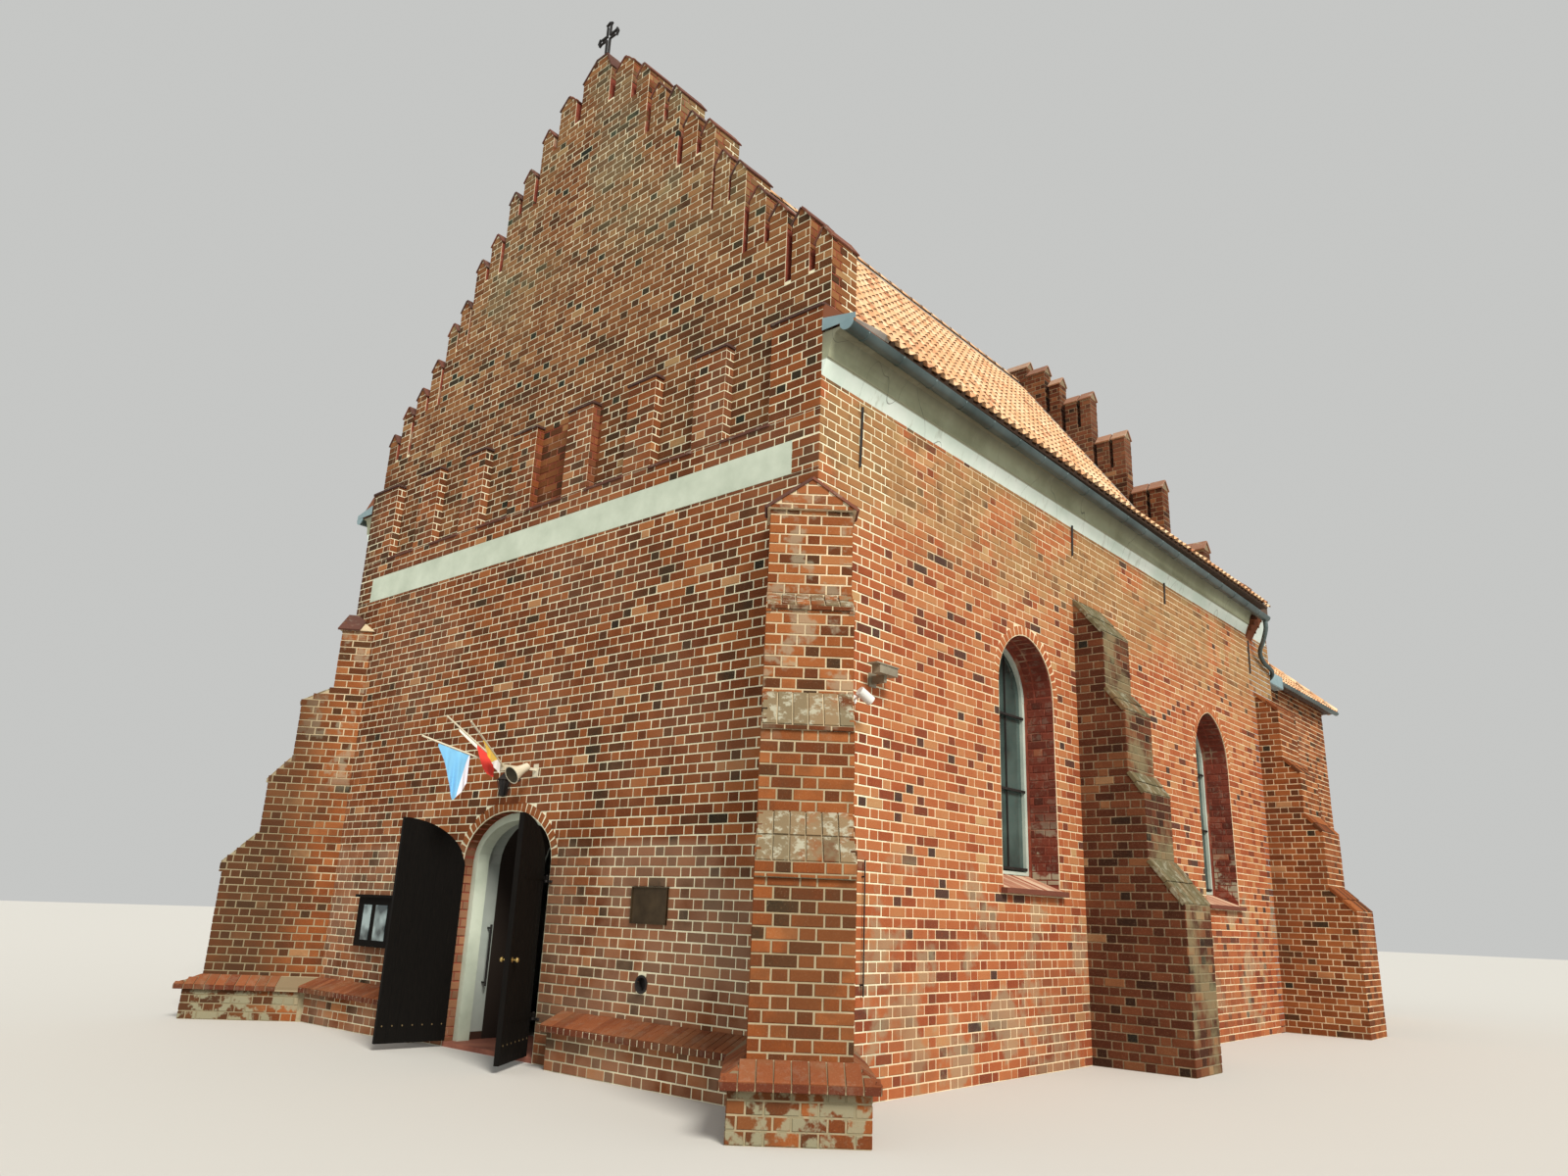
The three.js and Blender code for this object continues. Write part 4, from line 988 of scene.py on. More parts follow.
# The front bricks carry painted shade at the left corner.
brickFinish = brickShader("brick", redStops, [
    (clouded(0.3), (0.28, 0.13, 0.07)),
    (paintedLeftShade, (0.06, 0.03, 0.015)),
    (clouded(0.36, 1.1, 2.3, 2.2, (0.3, 0.6)), (0.4, 0.26, 0.17))])
# The corner bricks carry painted shade on the left buttress only.
cornerBrickFinish = brickShader("cornerBrick", redStops, [
    (clouded(0.5, 3.0, 2.9, 3.3, (0.52, 0.6)), (0.36, 0.33, 0.23)),
    (clouded(0.5, 1.4, 4.3, 2.9), (0.085, 0.04, 0.018)),
    (clouded(0.5, 2.5, 5.0, 6.0, (0.4, 0.5)), (0.4, 0.16, 0.07)),
    (paintedLeftShade, (0.06, 0.03, 0.015)),
    plinthLichen])
gableBrickFinish = brickShader("gableBrick", gableStops, [
    (clouded(0.3, 0.55, 8.5, 10.0), (0.24, 0.17, 0.08)),
    (clouded(0.35, 0.9, 9.0, 10.5, (0.5, 0.62)), (0.13, 0.15, 0.09))])
sideBrickFinish = brickShader("sideBrick", orangeStops, [
    (clouded(0.7, 0.9, 4.9, 6.1, (0.4, 0.55)), (0.31, 0.19, 0.08)),
    (clouded(0.6, 3.4, 5.0, 6.3, (0.55, 0.66)), (0.16, 0.08, 0.035)),
    (clouded(0.5, 1.7, 2.4, 1.9, (0.5, 0.6)), (0.33, 0.3, 0.19)),
    (clouded(0.5, 0.7, 1.8, 1.0), (0.24, 0.09, 0.04))])
rearBrickFinish = brickShader("rearBrick", darkStops, [(clouded(0.4), (0.22, 0.1, 0.06))])
# The middle buttresses are dark: partly dirt and moss, partly painted shade of their near faces beside the
# wall.
middleBrickFinish = brickShader("middleBrick", darkStops, [(moss, (0.26, 0.22, 0.12))])
newBrickFinish = brickShader("newBrick", redStops, [(clouded(0.5, 0.8), (0.2, 0.06, 0.022))])
weatheringFinish = brickShader("weatheringBrick", redStops,
                               [(clouded(0.7, 2.0, edge=(0.35, 0.5)), (0.22, 0.2, 0.12))], 0.75)
mossyFinish = brickShader("mossyBrick", redStops, [(clouded(0.85, edge=(0.3, 0.5)), (0.14, 0.13, 0.07))], 0.4)
plinthFinish = brickShader("plinthBrick", plinthStops, [(clouded(0.3, 1.5), (0.2, 0.12, 0.06))], 0.08)


def tiledShader(name, stops, lichen):
    f = Finish(name, roughness=0.85, specular=0.3)
    tone = f.node("ShaderNodeAttribute", {"attribute_name": "tone"}, output="Fac")
    color = f.ramp(tone + (f.noise(3, 3, 0.6) - 0.5) * 0.3 + (f.noise(80, 3, 0.6) - 0.5) * 0.12, stops)
    crust = f.fade(f.noise(5, 5, 0.75), 0.56, 0.66)
    f.set("Base Color", f.mix(crust * lichen, color, (0.45, 0.42, 0.33)))
    f.bump(f.noise(40, 3, 0.6), 0.35, 0.003)
    return f


capFinish = tiledShader("gableCap", [(0.1, (0.05, 0.03, 0.025)), (0.5, (0.16, 0.055, 0.035)),
                                     (0.9, (0.3, 0.1, 0.05))], 0.25)


paleMortar = [(0.2, (0.66, 0.6, 0.4)), (0.5, (0.86, 0.81, 0.58)), (0.8, (0.95, 0.92, 0.72))]
warmMortar = [(0.2, (0.48, 0.37, 0.22)), (0.5, (0.76, 0.61, 0.4)), (0.8, (0.9, 0.78, 0.56))]
darkMortar = [(0.2, (0.11, 0.08, 0.045)), (0.5, (0.25, 0.19, 0.12)), (0.8, (0.48, 0.4, 0.27))]


def mortarShader(name, stops, stainsAndShades=(), inside=None, reveal=None):
    f = Finish(name, roughness=0.95, specular=0.15)
    fine = f.noise(45, 4, 0.6)
    color = f.ramp(fine * 0.6 + f.noise(1.3, 3, 0.5) * 0.4, stops)
    for amount, tint in stainsAndShades:
        color = f.mix(amount(f), color, tint)
    if reveal:
        wash = f.ramp(f.noise(3.0, 4, 0.6),
                      [(0.3, (0.2, 0.045, 0.03)), (0.55, (0.3, 0.075, 0.045)), (0.7, (0.42, 0.33, 0.22))])
        color = f.mix(reveal(f), color, wash)
    if inside:
        lime = f.ramp(f.noise(2.5, 3, 0.5), [(0.3, (0.4, 0.46, 0.42)), (0.7, (0.52, 0.57, 0.53))])
        skirting = f.fade(f.z, 0.14, 0.13)
        # Painted shade: the deep part of the passage behind the doorway is near black.
        passageShade = between(f, f.y, (0.52, 0.53), (1.18, 1.19)) * (1 - f.fade(abs(f.x), 0.9, 0.91))
        lining = f.mix(passageShade, f.mix(skirting, lime, (0.07, 0.035, 0.025)), (0.03, 0.022, 0.018))
        color = f.mix(inside(f), color, lining)
    f.set("Base Color", color)
    f.bump(fine + f.noise(160, 2, 0.5) * 0.3, 0.45, 0.004)
    return f


# Colour of grime in clouded patches, and of painted shade at the left corner.
grimeAndShade = (0.24, 0.2, 0.12)
frontMortar = mortarShader("frontMortar", paleMortar, [(clouded(0.5, 0.8, 1.2, 0.4), grimeAndShade)],
                           inside=lambda f: f.fade(f.y, 0.29, 0.3) * (1 - f.fade(f.z, 7.45, 7.5))
                           * (1 - f.fade(abs(f.x), 3.6, 3.7)),
                           reveal=lambda f: between(f, f.y, (0.006, 0.01), (0.28, 0.29))
                           * (1 - f.fade(abs(f.x), 0.87, 0.88)))
# The gable mortar carries grime, and painted shade at the left corner.
gableMortar = mortarShader("gableMortar", paleMortar, [(clouded(0.18, 0.7), grimeAndShade), (paintedLeftShade, grimeAndShade)],
                           reveal=lambda f: between(f, f.y, (0.123, 0.128), (0.3, 0.31))
                           * f.fade(f.z, 7.6, 7.7))
# The corner mortar carries grime, and painted shade on the left buttress.
cornerMortar = mortarShader("cornerMortar", warmMortar, [
    (lambda f: between(f, f.z, (0.385, 0.39), (0.543, 0.546)), (0.2, 0.065, 0.032)),
    plinthLichen,
    (clouded(0.65, 0.9, 3.9, 2.4, (0.3, 0.5)), grimeAndShade),
    (clouded(0.4, 0.8, edge=(0.35, 0.55)), grimeAndShade),
    (paintedLeftShade, grimeAndShade)])
# Dark mortar of the middle buttresses: partly dirt and moss, partly painted shade.
buttressMortar = mortarShader("buttressMortar", darkMortar, [(moss, (0.26, 0.23, 0.13))])
rearButtressMortar = mortarShader("rearButtressMortar", warmMortar, [(clouded(0.4, 0.8), grimeAndShade)])
sideMortar = mortarShader("sideMortar", warmMortar, [(clouded(0.5, 1.0, 5.0, 6.2), (0.36, 0.26, 0.14))],
                          inside=lambda f: 1 - f.fade(abs(f.x), 4.05, 4.06),
                          reveal=lambda f: 1 - f.fade(abs(f.x), 4.505, 4.512))
rearMortar = mortarShader("rearMortar", warmMortar, inside=lambda f: 1 - f.fade(f.y, 13.55, 13.56))
rearGableMortar = mortarShader("rearGableMortar", darkMortar,
                               [(lambda f: 1 - f.fade(f.z, 7.3, 7.35), (0.2, 0.07, 0.035))])
chancelMortar = mortarShader("chancelMortar", warmMortar,
                             inside=lambda f: (1 - f.fade(abs(f.x), 3.56, 3.57))
                             * (1 - f.fade(f.y, 19.15, 19.16)),
                             reveal=lambda f: (1 - f.fade(abs(f.x), 3.905, 3.912))
                             * (1 - f.fade(f.y, 18.3, 18.31)))
dress(frontMortar, "front_wall_left", "front_wall_right", "front_wall_over")
dress(gableMortar, "front_gable")
dress(rearGableMortar, "rear_gable")
dress(cornerMortar, "left_corner_buttress", "right_corner_buttress")
dress(buttressMortar, "left_middle_buttress", "right_middle_buttress")
dress(rearButtressMortar, "left_rear_buttress", "right_rear_buttress")
dress(sideMortar, "left_side_wall", "right_side_wall")
dress(rearMortar, "rear_wall")
dress(chancelMortar, "left_chancel_wall", "right_chancel_wall", "chancel_end_wall")

buildFrontBricks()
buildGableBricks()
for side, word in bothSides:
    buildSideBricks(side, word + "_side_bricks")
    buildCornerBricks(side, word)
    buildButtress(side, word + "_middle", middleStages, 5.41, 6.2, middleBrickFinish, mossyFinish, "brick")
    buildButtress(side, word + "_rear", rearStages, 12.62, 13.6, newBrickFinish, newBrickFinish, "new_brick")
buildRearBricks()
buildChancelBricks()
print("masonry done")

# Roof tiles: S-shaped pantiles in rows up the slope, with the step of each row over the one below.
tiling = {"column": 0.174, "row": 0.323, "length": 0.38, "half": 0.099, "crest": 0.06, "pan": 0.012,
          "crestAt": 0.045, "lean": 0.003, "step": 0.009, "thick": 0.014, "tail": 0.03, "edge": 0.06}
capping = {"radius": 0.11, "length": 0.42, "step": 0.36, "taper": 0.05, "thick": 0.014}


def tileTemplate():
    t = tiling
    shape = bmesh.new()
    bmesh.ops.create_grid(shape, x_segments=6, y_segments=1, size=1)
    for v in shape.verts:
        x, s = v.co.x * t["half"], v.co.y
        wave = 0.5 + 0.5 * math.cos(2 * math.pi * (x - t["crestAt"]) / t["column"])
        height = t["pan"] + (t["crest"] - t["pan"]) * wave + t["lean"] * v.co.x + t["step"] * (1 - s)
        v.co = (x, -height, s * t["length"] / 2)
    bmesh.ops.solidify(shape, geom=shape.faces[:], thickness=t["thick"])
    bmesh.ops.recalc_face_normals(shape, faces=shape.faces[:])
    return template(shape, "Tile")


def cappingTemplate():
    c = capping
    shape = bmesh.new()
    bmesh.ops.create_grid(shape, x_segments=8, y_segments=1, size=1)
    for v in shape.verts:
        angle, s = v.co.x * math.pi / 2, v.co.y
        radius = c["radius"] * (1 - c["taper"] * s)
        v.co = (radius * math.sin(angle), -radius * math.cos(angle), s * c["length"] / 2)
    bmesh.ops.solidify(shape, geom=shape.faces[:], thickness=c["thick"])
    bmesh.ops.recalc_face_normals(shape, faces=shape.faces[:])
    return template(shape, "Capping")


tileGroup = laidGroup(tileTemplate(), 0.008)
cappingGroup = laidGroup(cappingTemplate(), 0.008)
steadyGroup = laidGroup(brickTemplate(), 0.0)


# Rows of tiles up a roof side, given as a path of (distance across, height) points.
def layTiles(bed, path, across, spansAt, first=0.0):
    t = tiling
    along = up.cross(across)
    lengths = [math.dist(a, b) for a, b in zip(path, path[1:])]

    def pointAt(d):
        for (x0, z0), (x1, z1), length in zip(path, path[1:], lengths):
            if d <= length or (x1, z1) == path[-1]:
                return across * (x0 + (x1 - x0) * d / length) + up * (z0 + (z1 - z0) * d / length)
            d -= length

    total = sum(lengths) - t["edge"] - first
    rows = round(total / t["row"])
    row = total / rows
    for k in range(rows):
        low, high = pointAt(first + k * row - t["tail"]), pointAt(first + k * row - t["tail"] + t["length"])
        rise = (high - low).normalized()
        out = skyward(along.cross(rise))
        right = (-out).cross(rise)
        middle = (low + high) / 2
        for a, b in spansAt(middle.dot(across)):
            count = int((b - a) / t["column"] + 0.3)
            width = (b - a) / count if count > 8 else t["column"]
            for i in range(count):
                spot = middle + along * (a + (i + 0.5) * width)
                spot += out * chance.uniform(-0.002, 0.003)
                tone = chance.gauss(0.5, 0.13) if chance.random() > 0.04 else chance.uniform(0, 0.2)
                size = (width / t["column"], 1, 1)
                bed.lay(spot, Matrix.Rotation(chance.gauss(0, 0.006), 3, out) @ right, out, size,
                        min(1, max(0, tone)))


def layCapping(bed, start, end, across):
    c = capping
    run = end - start
    rise = run.normalized()
    out = skyward(rise.cross(across))
    count = round(run.length / c["step"])
    for i in range(count):
        spot = start + run * (i + 0.5) / count + out * chance.uniform(-0.003, 0.003)
        bed.lay(spot, (-out).cross(rise), out, (1, 1, run.length / count / c["step"]),
                chance.gauss(0.5, 0.15))


# Slopes of the two roofs from the eave up, as (distance across, height).
roofPath = [roof["eave"], roof["kick"], (0, roof["ridge"])]
chancelEdge = chancel["half"] + chancel["overhang"]
chancelTop = chancel["eave"] + chancelEdge * chancel["slope"]
chancelPath = [(chancelEdge, chancel["eave"]), (0, chancelTop)]
chancelBack = chancel["end"] + chancel["overhang"]


# A stretch along the building, as layTiles counts it: backwards on the left slope.
def stretch(side, near, far):
    return (near, far) if side > 0 else (-far, -near)


def buildNaveTiles(side, word):
    bed = Bed()
    span = stretch(side, hull["gableBack"] + 0.01, hull["screen"][0] - 0.01)
    layTiles(bed, roofPath, rightOut * side, lambda x: [span])
    laid(bed, tileGroup, word + "_nave_tiles", tileFinish, "roof_tile", smooth=True)


# The hipped end is laid about the middle of the building, then moved to its place.
def layHipEnd(bed):
    hip = Bed()
    layTiles(hip, chancelPath, backOut, lambda y: [(-y, y)])
    bed.points += [(x, y + chancelBack - chancelEdge, z) for x, y, z in hip.points]
    bed.turns += hip.turns
    bed.sizes += hip.sizes
    bed.tones += hip.tones


def buildRearTiles(side, word):
    bed = Bed()
    start = hull["length"] + 0.02
    span = stretch(side, hull["screen"][1] + 0.01, start)
    layTiles(bed, roofPath, rightOut * side, lambda x: [span], first=0.4)
    layTiles(bed, chancelPath, rightOut * side,
             lambda x: [stretch(side, start, chancelBack - chancelEdge + x)])
    if side > 0:
        layHipEnd(bed)
    laid(bed, tileGroup, word + "_rear_tiles", tileFinish, "roof_tile", smooth=True)


def buildRidgeTiles():
    bed = Bed()
    ridge = Vector((0, 0, roof["ridge"]))
    screenFront, screenBack = hull["screen"]
    layCapping(bed, ridge + alongY * hull["gableBack"], ridge + alongY * screenFront, alongX)
    layCapping(bed, ridge + alongY * screenBack, ridge + alongY * hull["length"], alongX)
    top = Vector((0, hull["length"], chancelTop - 0.01))
    peak = Vector((0, chancelBack - chancelEdge, top.z))
    layCapping(bed, top, peak, alongX)
    for side in (-1, 1):
        foot = Vector((side * (chancelEdge - 0.05), chancelBack - 0.05, chancel["eave"] + 0.05))
        run = (peak - foot).normalized()
        layCapping(bed, foot, peak, run.cross(up).normalized())
    laid(bed, cappingGroup, "ridge_tiles", tileFinish, "roof_tile", smooth=True)


# Fillets of mortar where the roof meets the gables.
def buildRoofFillets():
    bed = Bed()
    screenFront, screenBack = hull["screen"]
    for side in (-1, 1):
        for (x0, z0), (x1, z1) in zip(roofPath, roofPath[1:]):
            low, high = Vector((side * x0, 0, z0)), Vector((side * x1, 0, z1))
            rise = (high - low).normalized()
            out = skyward(alongY.cross(rise))
            for y in (hull["gableBack"] + 0.035, screenFront - 0.035, screenBack + 0.035):
                if y > screenBack and x0 > 4.5:
                    low = Vector((side * 4.55, 0, roofHeight(4.55)))
                spot = (low + high) / 2 + alongY * y + out * 0.03
                slab(bed, spot, (-out).cross(rise), out, 0.08, 0.08, (high - low).length)
    laid(bed, brickGroup, "roof_fillets", filletFinish, "plaster")


# Saddle caps of the stepped gables, and the tiled kneeler slopes.
def laySaddle(bed, x0, x1, y0, y1, eave, rise, ridgeAlong, over, thick):
    middle = Vector(((x0 + x1) / 2, (y0 + y1) / 2, eave))
    half = ((x1 - x0) if ridgeAlong is alongY else (y1 - y0)) / 2
    length = ((y1 - y0) if ridgeAlong is alongY else (x1 - x0)) + 2 * over
    across = alongX if ridgeAlong is alongY else alongY
    for sign in (-1, 1):
        run = (across * (-sign * half) + up * rise).normalized()
        out = skyward(ridgeAlong.cross(run))
        size = math.hypot(half, rise) + over
        spot = middle + across * (sign * half / 2) + up * (rise / 2) - run * over / 2 + out * thick / 2
        slab(bed, spot, (-out).cross(run), out, length, thick, size, chance.uniform(0.2, 0.6))


def buildFrontCaps():
    bed = Bed()
    front, back = hull["recess"], hull["gableBack"]
    over, thick = 0.02, 0.022
    for sign in (-1, 1):
        for x0, x1, tip in frontPinnacles:
            a, b = sorted((sign * x0, sign * x1))
            laySaddle(bed, a, b, front, back, tip - gablet["rise"], gablet["rise"], alongY, over, thick)
    half, (left, right) = gablet["centralHalf"], gablet["flat"]
    outline = [(-half, gablet["centralEave"]), (left, gablet["centralTop"]), (right, gablet["centralTop"]),
               (half, gablet["centralEave"])]
    for (x0, z0), (x1, z1) in zip(outline, outline[1:]):
        run = Vector((x1 - x0, 0, z1 - z0))
        out = Vector((-run.z, 0, run.x)).normalized()
        spot = Vector(((x0 + x1) / 2, (front + back) / 2, (z0 + z1) / 2)) + out * (thick / 2)
        slab(bed, spot, run.normalized(), out, run.length + over, thick, back - front + 2 * over, 0.3)
    for (a, b), (after, _) in zip(pilasters, pilasters[1:] + [(0, 0)]):
        slab(bed, Vector(((a + b) / 2, 0.05, hull["pilasterTop"] + 0.013)), alongX, frontOut, b - a + 0.05,
             0.15, 0.03, 0.2)
        if after:
            slab(bed, Vector(((b + after) / 2, 0.05, hull["sill"])), alongX, frontOut, after - b + 0.05,
                 0.14, 0.032, 0.35)
    laid(bed, steadyGroup, "front_caps", capFinish, "roof_tile")


def buildRearCaps():
    bed = Bed()
    screenFront, screenBack = hull["screen"]
    rise, over, thick = 0.175, 0.025, 0.03
    for sign in (-1, 1):
        for x0, x1, eave in rearPinnacles:
            a, b = sorted((sign * x0, sign * x1))
            laySaddle(bed, a, b, screenFront, screenBack, eave, rise, alongX, over, thick)
        x0, z0, x1, z1 = rearPinnacles[-1][1], kneeler["top"], kneeler["endX"], kneeler["endZ"]
        run = Vector((sign * (x0 - x1), 0, z0 - z1))
        length = run.length
        run.normalize()
        out = skyward(alongY.cross(run))
        foot = Vector((sign * x1, (screenFront + screenBack) / 2, z1))
        for i in range(3):
            spot = foot + run * (length * (i + 0.5) / 3) + out * 0.014
            slab(bed, spot, (-out).cross(run), out, screenBack - screenFront + 0.04, thick,
                 length / 3 - 0.006, 0.35)
    laySaddle(bed, -rearCentral[0], rearCentral[0], screenFront, screenBack, rearCentral[1], rise, alongX,
              over, thick)
    laid(bed, brickGroup, "rear_caps", rearCapFinish, "roof_tile")


# Windows: pale frame round the glass, iron bars across it, bricks and plaster in the deep reveal.
windowWork = {"glass": 4.07, "frame": 0.055, "thick": 0.05, "steps": 24, "sill": 0.19, "bar": 0.03,
              "bars": (2.215, 3.156, 4.077), "chancelBars": (2.35, 3.2, 4.0), "chancelDepth": 0.35}


def layWindowFrame(bed, w, base, out, foot):
    wide, thick, steps = windowWork["frame"], windowWork["thick"], windowWork["steps"]
    for sign in (-1, 1):
        spot = base + alongY * (sign * (w["half"] - wide / 2)) + up * (foot + w["spring"]) / 2
        slab(bed, spot, up.cross(out), out, wide, thick, w["spring"] - foot)
    for i in range(steps):
        point, normal = archPoint(w, (i + 0.5) / steps)
        a, b = archPoint(w, i / steps)[0], archPoint(w, (i + 1) / steps)[0]
        spot = point - normal * wide / 2
        radial = alongY * normal.x + up * normal.y
        slab(bed, base + alongY * spot.x + up * spot.y, radial.cross(out), out, (a - b).length * 1.04,
             thick, wide)
    slab(bed, base + up * (foot + 0.02), up.cross(out), out, 2 * w["half"] - 0.02, thick, 0.04)


def layWindowBars(bed, w, base, out, foot, heights):
    for z in heights:
        half = archHalf(w, z) - windowWork["frame"] + 0.01
        slab(bed, base + up * z + out * 0.02, up.cross(out), out, 2 * half, 0.03, windowWork["bar"])
    top = w["spring"] + w["rise"] * 0.8
    for y in (-w["half"] / 3, w["half"] / 3):
        slab(bed, base + alongY * y + up * (foot + top) / 2, up.cross(out), out, 0.012, 0.014, top - foot)


def layWindowReveal(bed, w, glass, face, out, foot):
    inner, outer = glass + 0.09, face - 0.004
    for sign in (-1, 1):
        jamb = Vector((0, w["y"] + sign * w["half"], 0))
        layFace(bed, jamb, out, alongY * -sign, foot - 0.1, w["spring"], lambda z: [(inner, outer)],
                lambda s, z: -0.12)
    depth = outer - glass - 0.09
    shares = ((0.34, 0.66), (0.84, 0.32))  # middle and length of the two rows, as shares of the depth
    rows = [(outer - depth * middle, depth * length - 0.02) for middle, length in shares]
    laySoffit(bed, w, alongY * w["y"], alongY, out, rows, (0.15, 0.42))


def layWindowSill(bed, w, glass, face, out):
    low, high = Vector((face + 0.06, w["base"])), Vector((glass, w["base"] + windowWork["sill"]))
    run = out * (high.x - low.x) + up * (high.y - low.y)
    length = run.length
    run.normalize()
    normal = skyward(alongY.cross(run))
    count = round(2 * w["half"] / 0.096)
    for i in range(count):
        y = w["y"] - w["half"] + (i + 0.5) * 2 * w["half"] / count
        spot = out * (low.x + high.x) / 2 + up * (low.y + high.y) / 2 + alongY * y + normal * 0.003
        layBrick(bed, spot, run, normal, length, 2 * w["half"] / count - 0.012, chance.uniform(0.35, 0.9))
    drip = out * (face + 0.045) + alongY * w["y"] + up * (w["base"] - 0.018)
    slab(bed, drip, up.cross(out), out, 2 * w["half"] + 0.12, 0.11, 0.06, 0.0)


def buildWindows(side, word):
    g = windowWork
    openings = [(w, g["glass"], hull["half"], g["bars"]) for w in sideWindows]
    openings.append((chancel["window"], chancel["half"] - g["chancelDepth"], chancel["half"],
                     g["chancelBars"]))
    out = rightOut * side
    frames, bars, reveals, sills = Bed(), Bed(), Bed(), Bed()
    for w, glass, face, heights in openings:
        base = Vector((side * (glass + 0.02), w["y"], 0))
        foot = w["base"] + g["sill"]
        layWindowFrame(frames, w, base, out, foot)
        layWindowBars(bars, w, base, out, foot, heights)
        layWindowReveal(reveals, w, glass, face, out, foot)
        layWindowSill(sills, w, glass, face, out)
    laid(frames, steadyGroup, word + "_window_frames", frameFinish, "cream_paint")
    laid(bars, steadyGroup, word + "_window_bars", ironFinish, "iron")
    laid(reveals, brickGroup, word + "_window_reveals", revealFinish, "brick")
    laid(sills, brickGroup, word + "_window_sills", sillFinish, "brick")


# Door leaves: upright boards on both faces, a row of studs, in the frame of each hinge pin.
leafWork = {"pin": 0.835, "pinY": -0.02, "start": 0.005, "end": 0.832, "bottom": 0.07, "spring": 1.95,
            "rise": 0.551, "faces": (0.03, 0.08), "boards": 7, "gap": 0.004, "proud": 0.003,
            "thick": 0.012, "long": 2.7, "middle": 1.352, "short": 0.004, "edge": 0.002,
            "studs": 0.25, "stud": 0.009, "open": {-1: 95, 1: 125}}


def leafTop(x):
    w = leafWork
    share = (w["pin"] - x) / w["pin"]
    return w["spring"] + w["rise"] * math.sqrt(max(0, 1 - share * share))


def hung(shape, side, name, finish, slot):
    w = leafWork
    if side > 0:
        bmesh.ops.scale(shape, vec=(-1, 1, 1), verts=shape.verts)
        bmesh.ops.reverse_faces(shape, faces=shape.faces[:])
    turn = Matrix.Rotation(math.radians(side * w["open"][side]), 4, "Z")
    shape.transform(Matrix.Translation((side * w["pin"], w["pinY"], 0)) @ turn)
    return formed(shape, name, finish, slot, body="right_door" if side > 0 else "left_door")


# The vertices with the edges and faces that meet at them, each once.
def linked(verts):
    edges = dict.fromkeys(e for v in verts for e in v.link_edges)
    faces = dict.fromkeys(f for v in verts for f in v.link_faces)
    return verts + list(edges) + list(faces)


# Takes away what lies beyond a plane and closes the cut.
def sliced(shape, geom, place, normal):
    cut = bmesh.ops.bisect_plane(shape, geom=geom, plane_co=place, plane_no=normal, clear_outer=True)
    edges = [e for e in cut["geom_cut"] if isinstance(e, bmesh.types.BMEdge)]
    bmesh.ops.holes_fill(shape, edges=edges)


# One board and its stud on one face of a leaf, with the board's top cut to the slope of the arch.
def addBoard(boards, studs, x0, x1, face, sign):
    w = leafWork
    middle = (x0 + x1) / 2
    y = face + sign * (w["proud"] - w["thick"] / 2)
    made = bmesh.ops.create_cube(boards, size=1)["verts"]
    bmesh.ops.scale(boards, vec=(x1 - x0, w["thick"], w["long"]), verts=made)
    bmesh.ops.translate(boards, vec=(middle, y, w["bottom"] + w["middle"]), verts=made)
    low = Vector((x0, 0, leafTop(x0) - w["short"]))
    high = Vector((x1, 0, leafTop(x1) - w["short"]))
    sliced(boards, linked(made), low, Vector((low.z - high.z, 0, high.x - low.x)))
    stud = bmesh.ops.create_uvsphere(studs, u_segments=8, v_segments=5, radius=w["stud"])["verts"]
    bmesh.ops.scale(studs, vec=(1, 0.5, 1), verts=stud)
    bmesh.ops.translate(studs, vec=(middle, face + sign * (w["proud"] + 0.001), w["studs"]), verts=stud)


def upright(edge):
    a, b = edge.verts
    return abs(a.co.x - b.co.x) < 1e-5 and abs(a.co.y - b.co.y) < 1e-5


def buildLeaves():
    w = leafWork
    pitch = (w["end"] - w["start"]) / w["boards"]
    for side, word in ((-1, "left"), (1, "right")):
        boards, studs = bmesh.new(), bmesh.new()
        for i in range(w["boards"]):
            x0 = max(w["start"] + i * pitch + w["gap"] / 2, 0.012)
            x1 = w["start"] + (i + 1) * pitch - w["gap"] / 2
            for face, sign in zip(w["faces"], (-1, 1)):
                addBoard(boards, studs, x0, x1, face, sign)
        bmesh.ops.bevel(boards, geom=[e for e in boards.edges if upright(e)], offset=w["edge"],
                        affect="EDGES", segments=1, profile=0.5, material=-1)
        hung(boards, side, word + "_leaf_boards", woodFinish, "dark_wood")
        hung(studs, side, word + "_leaf_studs", studFinish, "brass")


# Cloth of a flag below its pole: falls are (share of the pole, fall of the cloth there), from the
# socket outwards, and the two colours meet at a share of the cloth that leans with the drop.
flagWork = {"socket": (0.07, -0.2, 3.095), "below": 0.014, "flags": {
    "flag_left": {"end": (-0.315, -1.078, 3.376), "slot": "blue_cloth",
                  "falls": [(0.42, 0.31), (0.47, 0.43), (0.56, 0.555), (0.61, 0.43), (0.71, 0.16),
                            (0.8, 0.03)]},
    "flag_middle": {"end": (-0.067, -0.95, 3.603), "slot": "red_cloth",
                    "falls": [(0.16, 0.19), (0.28, 0.22), (0.37, 0.16), (0.46, 0.045), (0.78, 0.03)]},
    "flag_right": {"end": (0.367, -0.9, 3.508), "slot": "yellow_cloth",
                   "falls": [(0.12, 0.12), (0.37, 0.115), (0.48, 0.09), (0.6, 0.025), (0.64, 0.02)]}}}


def fallAt(falls, share):
    for (s0, f0), (s1, f1) in zip(falls, falls[1:]):
        if share <= s1:
            return f0 + (f1 - f0) * (share - s0) / (s1 - s0)
    return falls[-1][1]


